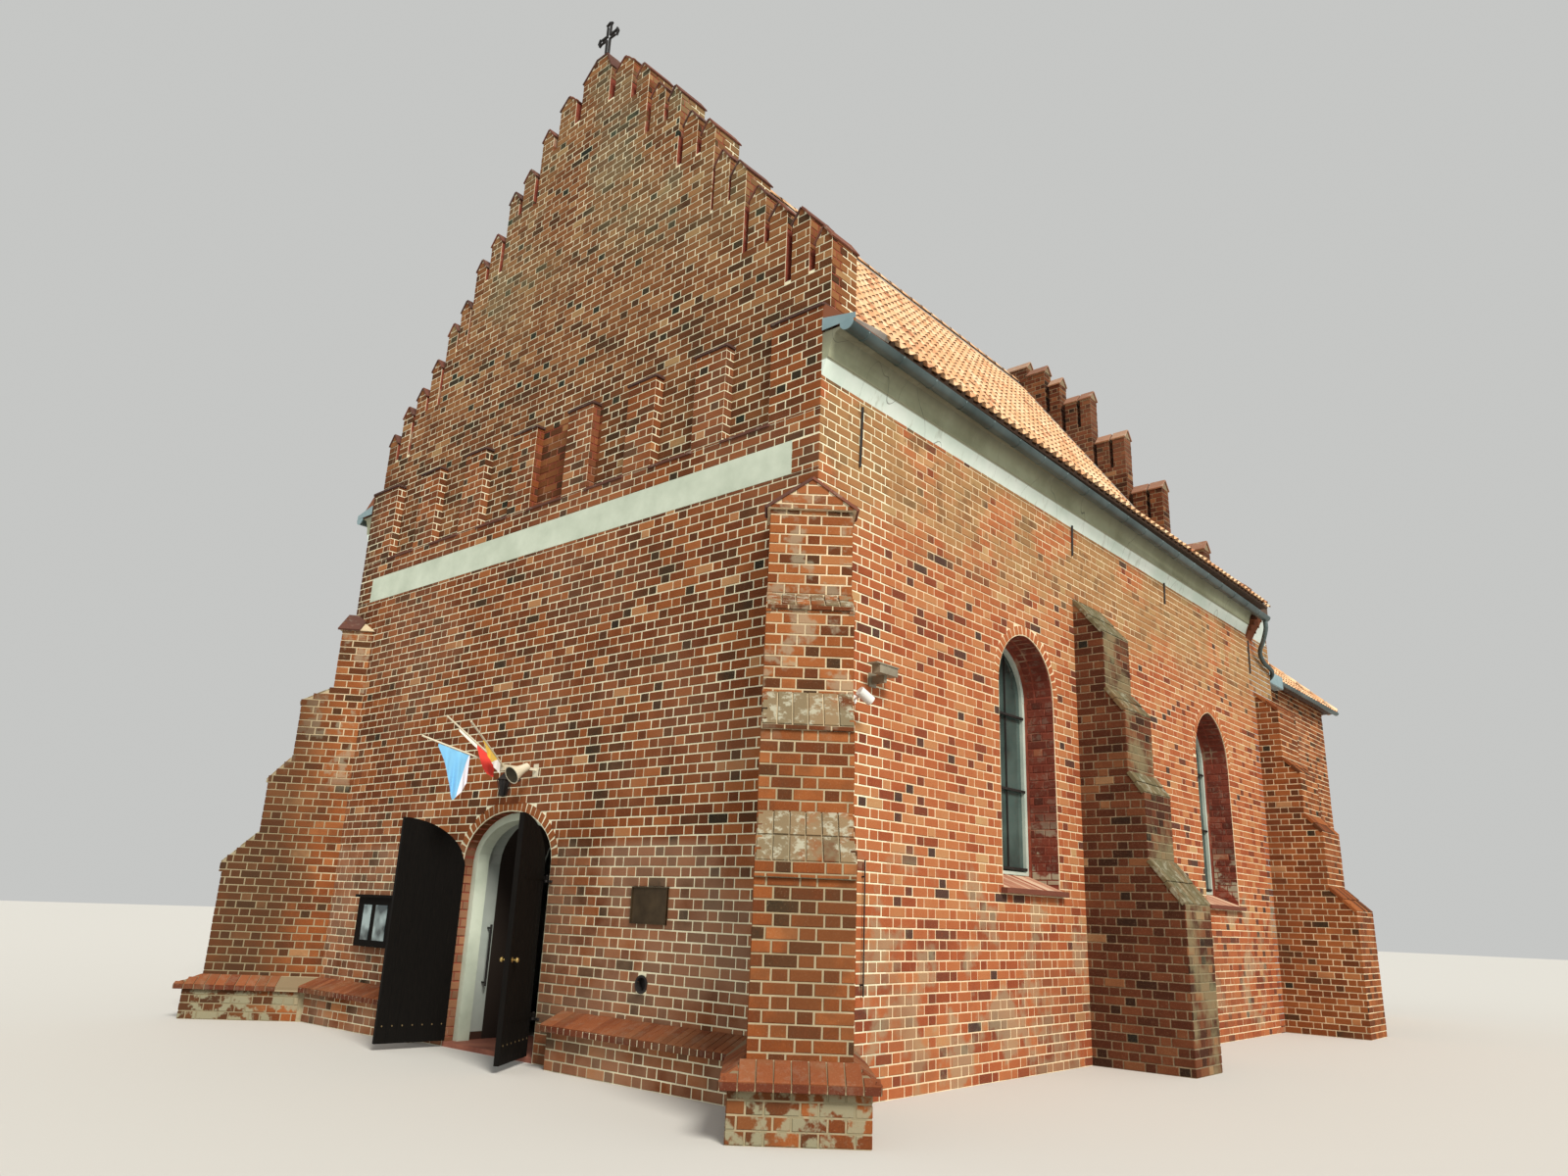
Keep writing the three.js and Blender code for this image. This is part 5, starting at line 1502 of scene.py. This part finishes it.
def buildFlags():
    socket = Vector(flagWork["socket"])
    for order, (name, f) in enumerate(flagWork["flags"].items()):
        pole = Vector(f["end"]) - socket
        side = pole.cross(up).normalized()
        falls = f["falls"]
        low, high = falls[0][0], falls[-1][0]
        shape = bmesh.new()
        shape.loops.layers.uv.new("cloth")
        bmesh.ops.create_grid(shape, x_segments=44, y_segments=28, size=0.5, calc_uvs=True)
        for v in shape.verts:
            u, drop = v.co.x + 0.5, 0.5 - v.co.y
            share = low + (high - low) * u
            fall = fallAt(falls, share)
            hold = socket + pole * share - up * flagWork["below"]
            broad = 0.06 * drop ** 0.6 * math.sin(u * 15 + 1.7 * drop + order)
            fine = 0.03 * drop * math.sin(u * 34 - order)
            v.co = hold + side * (fall * (broad + fine)) - up * (fall * drop)
        made = formed(shape, name + "_cloth", clothFinish[f["slot"]], f["slot"], smooth=True)
        wide = pole.length * (high - low)
        area = pole.length * sum((b - a) * (p + q) / 2 for (a, p), (b, q) in zip(falls, falls[1:]))
        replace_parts(made, name)
        max(fall for _, fall in falls)


def turned(profile, steps):
    shape = bmesh.new()
    verts = [shape.verts.new((r, 0, z)) for r, z in profile]
    edges = [shape.edges.new(pair) for pair in zip(verts, verts[1:] + verts[:1])]
    bmesh.ops.spin(shape, geom=verts + edges, axis=(0, 0, 1), cent=(0, 0, 0), angle=2 * math.pi,
                   steps=steps, use_merge=True)
    bmesh.ops.remove_doubles(shape, verts=shape.verts, dist=1e-5)
    bmesh.ops.recalc_face_normals(shape, faces=shape.faces[:])
    return shape


def rod(shape, start, end, radius, segments=8):
    run = end - start
    made = bmesh.ops.create_cone(shape, cap_ends=True, segments=segments, radius1=radius, radius2=radius,
                                 depth=run.length)["verts"]
    turn = run.to_track_quat("Z", "Y").to_matrix().to_4x4()
    bmesh.ops.transform(shape, matrix=Matrix.Translation((start + end) / 2) @ turn, verts=made)


# The lower half of a tube with a thin wall, open at the top.
def trough(shape, start, end, radius):
    run = end - start
    made = bmesh.ops.create_cone(shape, segments=24, radius1=radius, radius2=radius,
                                 depth=run.length)["verts"]
    bmesh.ops.rotate(shape, verts=made, matrix=Matrix.Rotation(-math.pi / 2, 3, "X"))
    bmesh.ops.bisect_plane(shape, geom=linked(made), plane_co=(0, 0, 0), plane_no=(0, 0, 1),
                           clear_outer=True)
    shape.normal_update()
    bmesh.ops.solidify(shape, geom=shape.faces[:], thickness=0.005)
    shape.transform(Matrix.Translation((start + end) / 2))
    bmesh.ops.recalc_face_normals(shape, faces=shape.faces[:])


# Zinc sheet: a plate that closes each eave at the front, the gutter's end, and the chancel's gutters.
sheetWork = {"plate": [(4.525, 7.325), (4.955, 7.325), (4.525, 7.47), (4.955, 7.385)], "y": -0.014,
             "thick": 0.006,
             "gutter": {"x": 4.855, "y": -0.028, "z": 7.3, "radius": 0.084, "cap": 0.008, "above": 0.012},
             "chancel": {"x": 4.2, "z": 6.5, "radius": 0.06, "from": 13.66, "to": 19.38},
             "box": {"x": (4.12, 4.3), "y": (14.0, 15.2), "z": (6.3, 6.56)}}


def buildEavePlate(side, word):
    w = sheetWork
    plate = bmesh.new()
    bmesh.ops.create_grid(plate, x_segments=1, y_segments=1, size=1)
    corners = sorted(plate.verts, key=lambda v: (v.co.y, v.co.x))
    for v, (x, z) in zip(corners, w["plate"]):
        v.co = (side * x, w["y"], z)
    plate.normal_update()
    bmesh.ops.solidify(plate, geom=plate.faces[:], thickness=w["thick"])
    bmesh.ops.recalc_face_normals(plate, faces=plate.faces[:])
    formed(plate, word + "_eave_plate", sheetFinish, "zinc")


def buildGutterEnd(side, word):
    g = sheetWork["gutter"]
    cap = bmesh.new()
    made = bmesh.ops.create_cone(cap, cap_ends=True, segments=28, radius1=g["radius"],
                                 radius2=g["radius"], depth=g["cap"])["verts"]
    bmesh.ops.rotate(cap, verts=made, matrix=Matrix.Rotation(math.pi / 2, 3, "X"))
    sliced(cap, cap.verts[:] + cap.edges[:] + cap.faces[:], (0, 0, g["above"]), (0, 0, 1))
    bmesh.ops.translate(cap, verts=cap.verts, vec=(side * g["x"], g["y"], g["z"]))
    formed(cap, word + "_gutter_end", sheetFinish, "zinc")


def buildChancelGutter(side, word):
    c = sheetWork["chancel"]
    pipe = bmesh.new()
    x, z = side * c["x"], c["z"]
    trough(pipe, Vector((x, c["from"], z)), Vector((x, c["to"], z)), c["radius"])
    formed(pipe, word + "_chancel_gutter", zincFinish, "zinc")


def buildSheets():
    for side, word in bothSides:
        buildEavePlate(side, word)
        buildGutterEnd(side, word)
        buildChancelGutter(side, word)
    flashing = Bed()
    box = sheetWork["box"]
    middle = Vector([sum(box[axis]) / 2 for axis in "xyz"])
    size = Vector([box[axis][1] - box[axis][0] for axis in "xyz"])
    for side in (-1, 1):
        spot = Vector((side * middle.x, middle.y, middle.z))
        slab(flashing, spot, alongY, rightOut * side, size.y, size.x, size.z)
    laid(flashing, steadyGroup, "chancel_flashings", sheetFinish, "zinc")


# Round pieces of the camera and of the lamp, as (start, end, radius, sides).
cameraRods = [((4.69, 1.056, 3.915), (4.69, 1.075, 3.915), 0.036, 20),
              ((4.6, 0.92, 3.8), (4.6, 0.92, 3.86), 0.012, 12)]
lampRods = [((4.69, 0.5, 3.645), (4.735, 0.63, 3.56), 0.05, 28),
            ((4.53, 0.63, 3.6), (4.7, 0.55, 3.62), 0.012, 12),
            ((4.5206, 0.63, 3.6), (4.534, 0.63, 3.6), 0.045, 20)]


def rodsOf(pieces):
    shape = bmesh.new()
    for start, end, radius, sides in pieces:
        rod(shape, Vector(start), Vector(end), radius, sides)
    return shape


def buildCameraAndLamp():
    formed(rodsOf(cameraRods), "camera_lens", ironFinish, "iron")
    lamp = rodsOf(lampRods)
    edges = [e for e in lamp.edges if e.calc_face_angle(0) > 1 and e.calc_length() < 0.02]
    bmesh.ops.bevel(lamp, geom=edges, offset=0.004, affect="EDGES", segments=2, profile=0.5, material=-1)
    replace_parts(formed(lamp, "round_lamp", lampFinish, "cream_paint"), "wall_lamp")


# Iron on the walls: anchors as (y, foot, head), an upright rail on two stubs, and bars round the lantern.
ironWork = {"anchors": [(0.65, 6.04, 6.73), (5.44, 6.41, 6.85), (8.61, 6.49, 6.84), (12.45, 6.1, 6.72)],
            "anchorX": 4.538, "anchor": 0.014,
            "rail": {"x": 4.56, "y": 0.8, "wall": 4.5, "foot": 0.9, "head": 2.1, "stubs": (1.0, 1.95)},
            "lantern": {"centre": (0.1, -0.2, 2.76), "foot": (0.038, 0.01), "head": (0.079, 0.19)}}


def buildIron():
    w = ironWork
    iron = bmesh.new()
    for y, foot, head in w["anchors"]:
        for side in (-1, 1):
            x = side * w["anchorX"]
            rod(iron, Vector((x, y, foot)), Vector((x, y + 0.03, head)), w["anchor"], 6)
    r = w["rail"]
    rod(iron, Vector((r["x"], r["y"], r["foot"])), Vector((r["x"], r["y"], r["head"])), 0.007)
    for z in r["stubs"]:
        rod(iron, Vector((r["wall"], r["y"], z)), Vector((r["x"], r["y"], z)), 0.008, 6)
    centre = Vector(w["lantern"]["centre"])
    (foot, low), (head, high) = w["lantern"]["foot"], w["lantern"]["head"]
    for i in range(6):
        angle = math.pi * i / 3
        direction = Vector((math.cos(angle), math.sin(angle), 0))
        rod(iron, centre + direction * foot + up * low, centre + direction * head + up * high, 0.005, 6)
    rod(iron, centre + up * 0.26, centre + up * 0.3 + alongY * 0.01, 0.006, 6)
    formed(iron, "iron_fittings", ironFinish, "iron")


def buildVentCup():
    v = hull["vent"]
    r = v["radius"]
    cup = turned([(0, -0.06), (r - 0.003, -0.06), (r - 0.002, 0.004), (r + 0.012, 0.004),
                  (r + 0.012, 0.014), (r - 0.01, 0.012), (r - 0.012, -0.05), (0, -0.05)], 24)
    cup.transform(Matrix.Translation((v["x"], 0, v["z"])) @ Matrix.Rotation(math.pi / 2, 4, "X"))
    formed(cup, "vent_cup", ironFinish, "iron")


# Lining of the horn, turned about the line from its back to its mouth.
hornWork = {"back": (0.42, -0.13, 3.1), "mouth": (0.428, -0.338, 2.977),
            "profile": [(0.0, 0.122), (0.05, 0.142), (0.0945, 0.2405), (0.093, 0.241), (0.048, 0.144),
                        (0.0, 0.125)]}


def buildHornLining():
    back, mouth = hornWork["back"], hornWork["mouth"]
    lining = turned(hornWork["profile"], 20)
    aim = (Vector(mouth) - Vector(back)).to_track_quat("Z", "Y").to_matrix().to_4x4()
    lining.transform(Matrix.Translation(back) @ aim)
    formed(lining, "horn_lining", liningFinish, "cream_paint", smooth=True)


# Panes of the notice case, as (middle, width), and the border of the plaque, as (x, z, length, height).
boardWork = {"panes": [(-2.735, 0.19), (-2.39, 0.28)], "paneY": -0.112, "paneZ": 1.295, "paneHigh": 0.43,
             "border": [(2.52, 1.794, 0.52, 0.012), (2.52, 1.451, 0.52, 0.012),
                        (2.266, 1.622, 0.012, 0.33), (2.774, 1.622, 0.012, 0.33)], "borderY": -0.022}


def buildBoards():
    w = boardWork
    panes, border = Bed(), Bed()
    for x, wide in w["panes"]:
        slab(panes, Vector((x, w["paneY"], w["paneZ"])), alongX, frontOut, wide, 0.012, w["paneHigh"])
    laid(panes, steadyGroup, "notice_panes", paneFinish, "window_glass")
    for x, z, length, height in w["border"]:
        slab(border, Vector((x, w["borderY"], z)), alongX, frontOut, length, 0.02, height)
    laid(border, steadyGroup, "plaque_border", bronzeFinish, "bronze")


# Straps under the gutters, which fall a little towards the rear.
strapWork = {"x": 4.855, "rim": 7.3, "fall": 0.013, "from": 0.25, "to": 12.5, "step": 0.62,
             "radius": 0.083, "wide": 0.03}


def buildGutterStraps():
    w = strapWork
    straps = Bed()
    radius = w["radius"] / capping["radius"]
    size = (radius, radius, w["wide"] / capping["length"])
    for side in (-1, 1):
        y = w["from"]
        while y < w["to"]:
            straps.lay(Vector((side * w["x"], y, w["rim"] - w["fall"] * y)), alongX, -up, size, 0.5)
            y += w["step"]
    group = laidGroup(cappingTemplate(), 0.0)
    laid(straps, group, "gutter_brackets", zincFinish, "zinc", smooth=True)


# Finishes of the tiles, the fittings and the other pieces.
def plainFinish(name, low, high, scale=3.0, **constants):
    f = Finish(name, **constants)
    cloud = f.noise(scale, 4, 0.6)
    f.set("Base Color", f.ramp(cloud, [(0.35, low), (0.65, high)]))
    f.bump(f.noise(scale * 25, 3, 0.6), 0.2, 0.002)
    return f


tileFinish = tiledShader("pantile", [(0.05, (0.42, 0.17, 0.08)), (0.35, (0.74, 0.4, 0.2)),
                                     (0.6, (0.85, 0.55, 0.32)), (0.95, (0.92, 0.7, 0.47))], 0.15)
rearCapFinish = tiledShader("rearCap", [(0.1, (0.2, 0.09, 0.06)), (0.5, (0.36, 0.2, 0.13)),
                                        (0.9, (0.5, 0.38, 0.27))], 0.7)
revealStops = [(0.0, (0.07, 0.022, 0.015)), (0.3, (0.14, 0.032, 0.02)), (0.6, (0.25, 0.06, 0.035)),
               (1.0, (0.38, 0.14, 0.07))]
revealFinish = brickShader("revealBrick", revealStops, [
    (clouded(0.75, 0.55, 2.6, 3.6), (0.22, 0.05, 0.03)),
    (clouded(0.8, 2.6, 3.0, 2.4, (0.5, 0.56)), (0.46, 0.42, 0.3))], 0.15)
sillFinish = brickShader("sillBrick", [(0.0, (0.15, 0.05, 0.032)), (0.35, (0.34, 0.105, 0.06)),
                                       (0.6, (0.56, 0.33, 0.22)), (1.0, (0.74, 0.56, 0.4))])
frameFinish = plainFinish("windowFrame", (0.42, 0.5, 0.44), (0.55, 0.62, 0.54), roughness=0.7)
ironFinish = plainFinish("iron", (0.015, 0.014, 0.014), (0.035, 0.03, 0.028), roughness=0.6, metallic=0.4)
woodFinish = Finish("darkBoards", roughness=0.75, specular=0.12)
fibre = woodFinish.noise(18, 5, 0.65, (6, 6, 0.5))
woodFinish.set("Base Color",
               woodFinish.ramp(fibre, [(0.3, (0.002, 0.0018, 0.0015)), (0.7, (0.006, 0.0045, 0.0035))]))
woodFinish.bump(fibre, 0.3, 0.002)
brassFinish = plainFinish("brass", (0.5, 0.36, 0.13), (0.66, 0.5, 0.2), roughness=0.3, metallic=0.9)
studFinish = plainFinish("agedStud", (0.16, 0.11, 0.05), (0.26, 0.19, 0.09), roughness=0.5, metallic=0.6)
bronzeFinish = plainFinish("bronze", (0.045, 0.028, 0.012), (0.08, 0.052, 0.025), scale=6, roughness=0.5,
                           metallic=0.5)
zincFinish = plainFinish("zinc", (0.05, 0.075, 0.075), (0.12, 0.16, 0.16), scale=1.2, roughness=0.45,
                         metallic=0.6)
sheetFinish = plainFinish("zincSheet", (0.22, 0.33, 0.36), (0.32, 0.44, 0.47), scale=2.0, roughness=0.5,
                          metallic=0.3)
mintFinish = plainFinish("mintPlaster", (0.5, 0.57, 0.46), (0.64, 0.71, 0.59), scale=2.0, roughness=0.9)
filletFinish = plainFinish("greyMortar", (0.3, 0.28, 0.25), (0.48, 0.45, 0.4), roughness=0.95)
paintFinish = plainFinish("creamPaint", (0.62, 0.56, 0.4), (0.72, 0.67, 0.52), roughness=0.5)
cameraFinish = plainFinish("cameraPaint", (0.2, 0.17, 0.12), (0.32, 0.28, 0.2), roughness=0.5)
lampFinish = plainFinish("lampPaint", (0.72, 0.73, 0.7), (0.84, 0.85, 0.82), roughness=0.4)
liningFinish = plainFinish("hornLining", (0.035, 0.028, 0.012), (0.07, 0.055, 0.025), scale=9, roughness=0.6)
floorFinish = plainFinish("floorStone", (0.25, 0.23, 0.2), (0.36, 0.33, 0.28), roughness=0.8)
thresholdFinish = plainFinish("threshold", (0.22, 0.07, 0.045), (0.36, 0.13, 0.08), roughness=0.85)
glassFinish = Finish("windowGlass", roughness=0.08, specular=0.6)
glassFinish.set("Base Color", glassFinish.ramp(glassFinish.noise(1.6, 3, 0.5),
                                               [(0.35, (0.02, 0.035, 0.032)), (0.7, (0.07, 0.11, 0.1))]))
paneFinish = Finish("noticePane", roughness=0.1, specular=0.6)
paneFinish.set("Base Color", paneFinish.ramp(paneFinish.noise(3.5, 2, 0.5),
                                             [(0.4, (0.03, 0.05, 0.055)), (0.6, (0.34, 0.44, 0.45))]))


def corniceShader():
    f = Finish("cornicePlaster", roughness=0.9)
    cloud = f.noise(1.6, 4, 0.6)
    fascia = f.ramp(cloud, [(0.35, (0.7, 0.82, 0.73)), (0.65, (0.86, 0.94, 0.87))])
    # Painted shade: the cove under the overhang is dark olive, and darker still towards the gutter.
    shadedCove = f.ramp(cloud, [(0.35, (0.24, 0.25, 0.16)), (0.65, (0.36, 0.38, 0.26))])
    # Painted shadow line at the step between the fascia and the cove.
    edges = between(f, f.z, (6.99, 6.995), (7.01, 7.015)) * 0.8
    color = f.mix(f.fade(f.z, 7.0, 7.006), fascia,
                  f.mix(f.fade(f.z, 7.05, 7.28) * 0.7, shadedCove, (0.14, 0.13, 0.09)))
    crack = 1 - f.fade(abs(f.noise(0.9, 2, 0.5, (1, 1, 0.12)) - 0.5), 0.0, 0.0012)
    # Real stains in patches, in the colour of the painted shadow line.
    tint = f.fade(f.noise(5, 3, 0.7, (1, 1, 0.35)), 0.56, 0.7) * 0.35
    color = f.mix(edges + tint, color, (0.3, 0.31, 0.22))
    f.set("Base Color", f.mix(crack * 0.8, color, (0.08, 0.08, 0.06)))
    f.bump(f.noise(30, 3, 0.6), 0.2, 0.002)
    return f


corniceFinish = corniceShader()
# Boards under the tiles, dark brown as painted shade, which shows in the gaps between the tiles.
boardShadeFinish = plainFinish("roofBoards", (0.06, 0.035, 0.022), (0.12, 0.07, 0.045), roughness=0.9)
gableSide = 1 - boardShadeFinish.fade(boardShadeFinish.y, 0.3, 0.56)
boardShadeFinish.set("Base Color", boardShadeFinish.mix(gableSide, (0.09, 0.052, 0.034), (0.24, 0.08, 0.035)))


def clothShader(name, outer, inner, seam, lean):
    f = Finish(name, roughness=0.85, sheen=0.3)
    parts = f.tree.nodes.new("ShaderNodeSeparateXYZ")
    uv = f.node("ShaderNodeUVMap", {"uv_map": "cloth"})
    f.tree.links.new(uv.socket, parts.inputs[0])
    share, height = Signal(f, parts.outputs[0]), Signal(f, parts.outputs[1])
    f.set("Base Color", f.mix(f.fade(share - (1 - height) * lean, seam - 0.005, seam + 0.005), inner, outer))
    f.bump(f.noise(300, 2, 0.5), 0.1, 0.0008)
    return f


clothFinish = {"blue_cloth": clothShader("blueCloth", (0.2, 0.52, 0.82), (0.78, 0.78, 0.88), 0.03, 0.26),
               "red_cloth": clothShader("redCloth", (0.85, 0.85, 0.8), (0.78, 0.05, 0.035), 0.5, 0.0),
               "yellow_cloth": clothShader("yellowCloth", (0.85, 0.55, 0.05), (0.85, 0.86, 0.86), 0.18, 0.3)}
both = ("left", "right")
dress(mintFinish, "plaster_band", "doorway_frame")
dress(corniceFinish, *(w + "_cornice" for w in both))
dress(zincFinish, *(w + part for w in both for part in ("_gutter", "_downpipe")))
dress(boardShadeFinish, "nave_roof", "rear_roof", "chancel_roof")
dress(filletFinish, "nave_ridge")
dress(glassFinish, *(w + part for w in both for part in ("_window_near", "_window_far", "_chancel_window")))
dress(ironFinish, "gable_cross", "grab_bar", "lantern",
      *(w + part for w in both for part in ("_lower_pintle", "_upper_pintle")))
dress(woodFinish, "left_leaf", "right_leaf", "notice_case")
dress(brassFinish, "outer_knob", "inner_knob")
dress(bronzeFinish, "plaque")
dress(paintFinish, "horn_speaker", "flag_poles")
dress(cameraFinish, "camera")
dress(floorFinish, "floor")
dress(thresholdFinish, "threshold")

for side, word in bothSides:
    buildNaveTiles(side, word)
    buildRearTiles(side, word)
buildRidgeTiles()
buildRoofFillets()
buildFrontCaps()
buildRearCaps()
print("roofs done")
for side, word in bothSides:
    buildWindows(side, word)
buildLeaves()
buildFlags()
buildIron()
buildVentCup()
buildHornLining()
buildBoards()
buildSheets()
buildCameraAndLamp()
buildGutterStraps()
print("details done")

# Camera at the photograph's place, floor and light.
view = {"lens": 24.549, "yaw": 41.5689, "pitch": 16.9203, "roll": 2.1842,
        "place": (10.757, -16.47534, 1.5955)}


def addCamera():
    yaw, pitch, roll = (math.radians(view[k]) for k in ("yaw", "pitch", "roll"))
    ahead = Vector((-math.sin(yaw) * math.cos(pitch), math.cos(yaw) * math.cos(pitch), math.sin(pitch)))
    level = Vector((math.cos(yaw), math.sin(yaw), 0))
    rise = level.cross(ahead)
    right = math.cos(roll) * level + math.sin(roll) * rise
    top = -math.sin(roll) * level + math.cos(roll) * rise
    lens = bpy.data.cameras.new("camera")
    lens.lens, lens.sensor_width, lens.clip_end = view["lens"], 36, 300
    made = bpy.data.objects.new("viewpoint", lens)
    bpy.context.scene.collection.objects.link(made)
    turn = Matrix((right, top, -ahead)).transposed().to_4x4()
    made.matrix_world = Matrix.Translation(view["place"]) @ turn
    bpy.context.scene.camera = made


# Pale floor, even sky and soft sun of the picture.
stageWork = {"size": 120, "floor": (0.62, 0.61, 0.58), "sky": (0.97, 0.98, 0.96), "skyLight": 0.58,
             "sun": 3.5, "sunSpread": 20, "sunColor": (1.0, 0.95, 0.86), "sunTilt": 50, "sunHeading": 66}


def addFloor():
    shape = bmesh.new()
    bmesh.ops.create_grid(shape, x_segments=1, y_segments=1, size=stageWork["size"])
    mesh = bpy.data.meshes.new("ground")
    shape.to_mesh(mesh)
    shape.free()
    ground = bpy.data.objects.new("ground", mesh)
    bpy.context.scene.collection.objects.link(ground)
    mesh.materials.append(Finish("paleGround", stageWork["floor"], roughness=0.95).material)


def addLight():
    w = stageWork
    world = bpy.data.worlds.new("sky")
    bpy.context.scene.world = world
    world.use_nodes = True
    sky = world.node_tree.nodes["Background"]
    sky.inputs["Color"].default_value = (*w["sky"], 1)
    sky.inputs["Strength"].default_value = w["skyLight"]
    sun = bpy.data.lights.new("softSun", "SUN")
    sun.energy, sun.angle, sun.color = w["sun"], math.radians(w["sunSpread"]), w["sunColor"]
    lamp = bpy.data.objects.new("softSun", sun)
    lamp.rotation_euler = (math.radians(w["sunTilt"]), 0, math.radians(w["sunHeading"]))
    bpy.context.scene.collection.objects.link(lamp)
    bpy.context.scene.view_settings.view_transform = "Standard"


addCamera()
addFloor()
addLight()
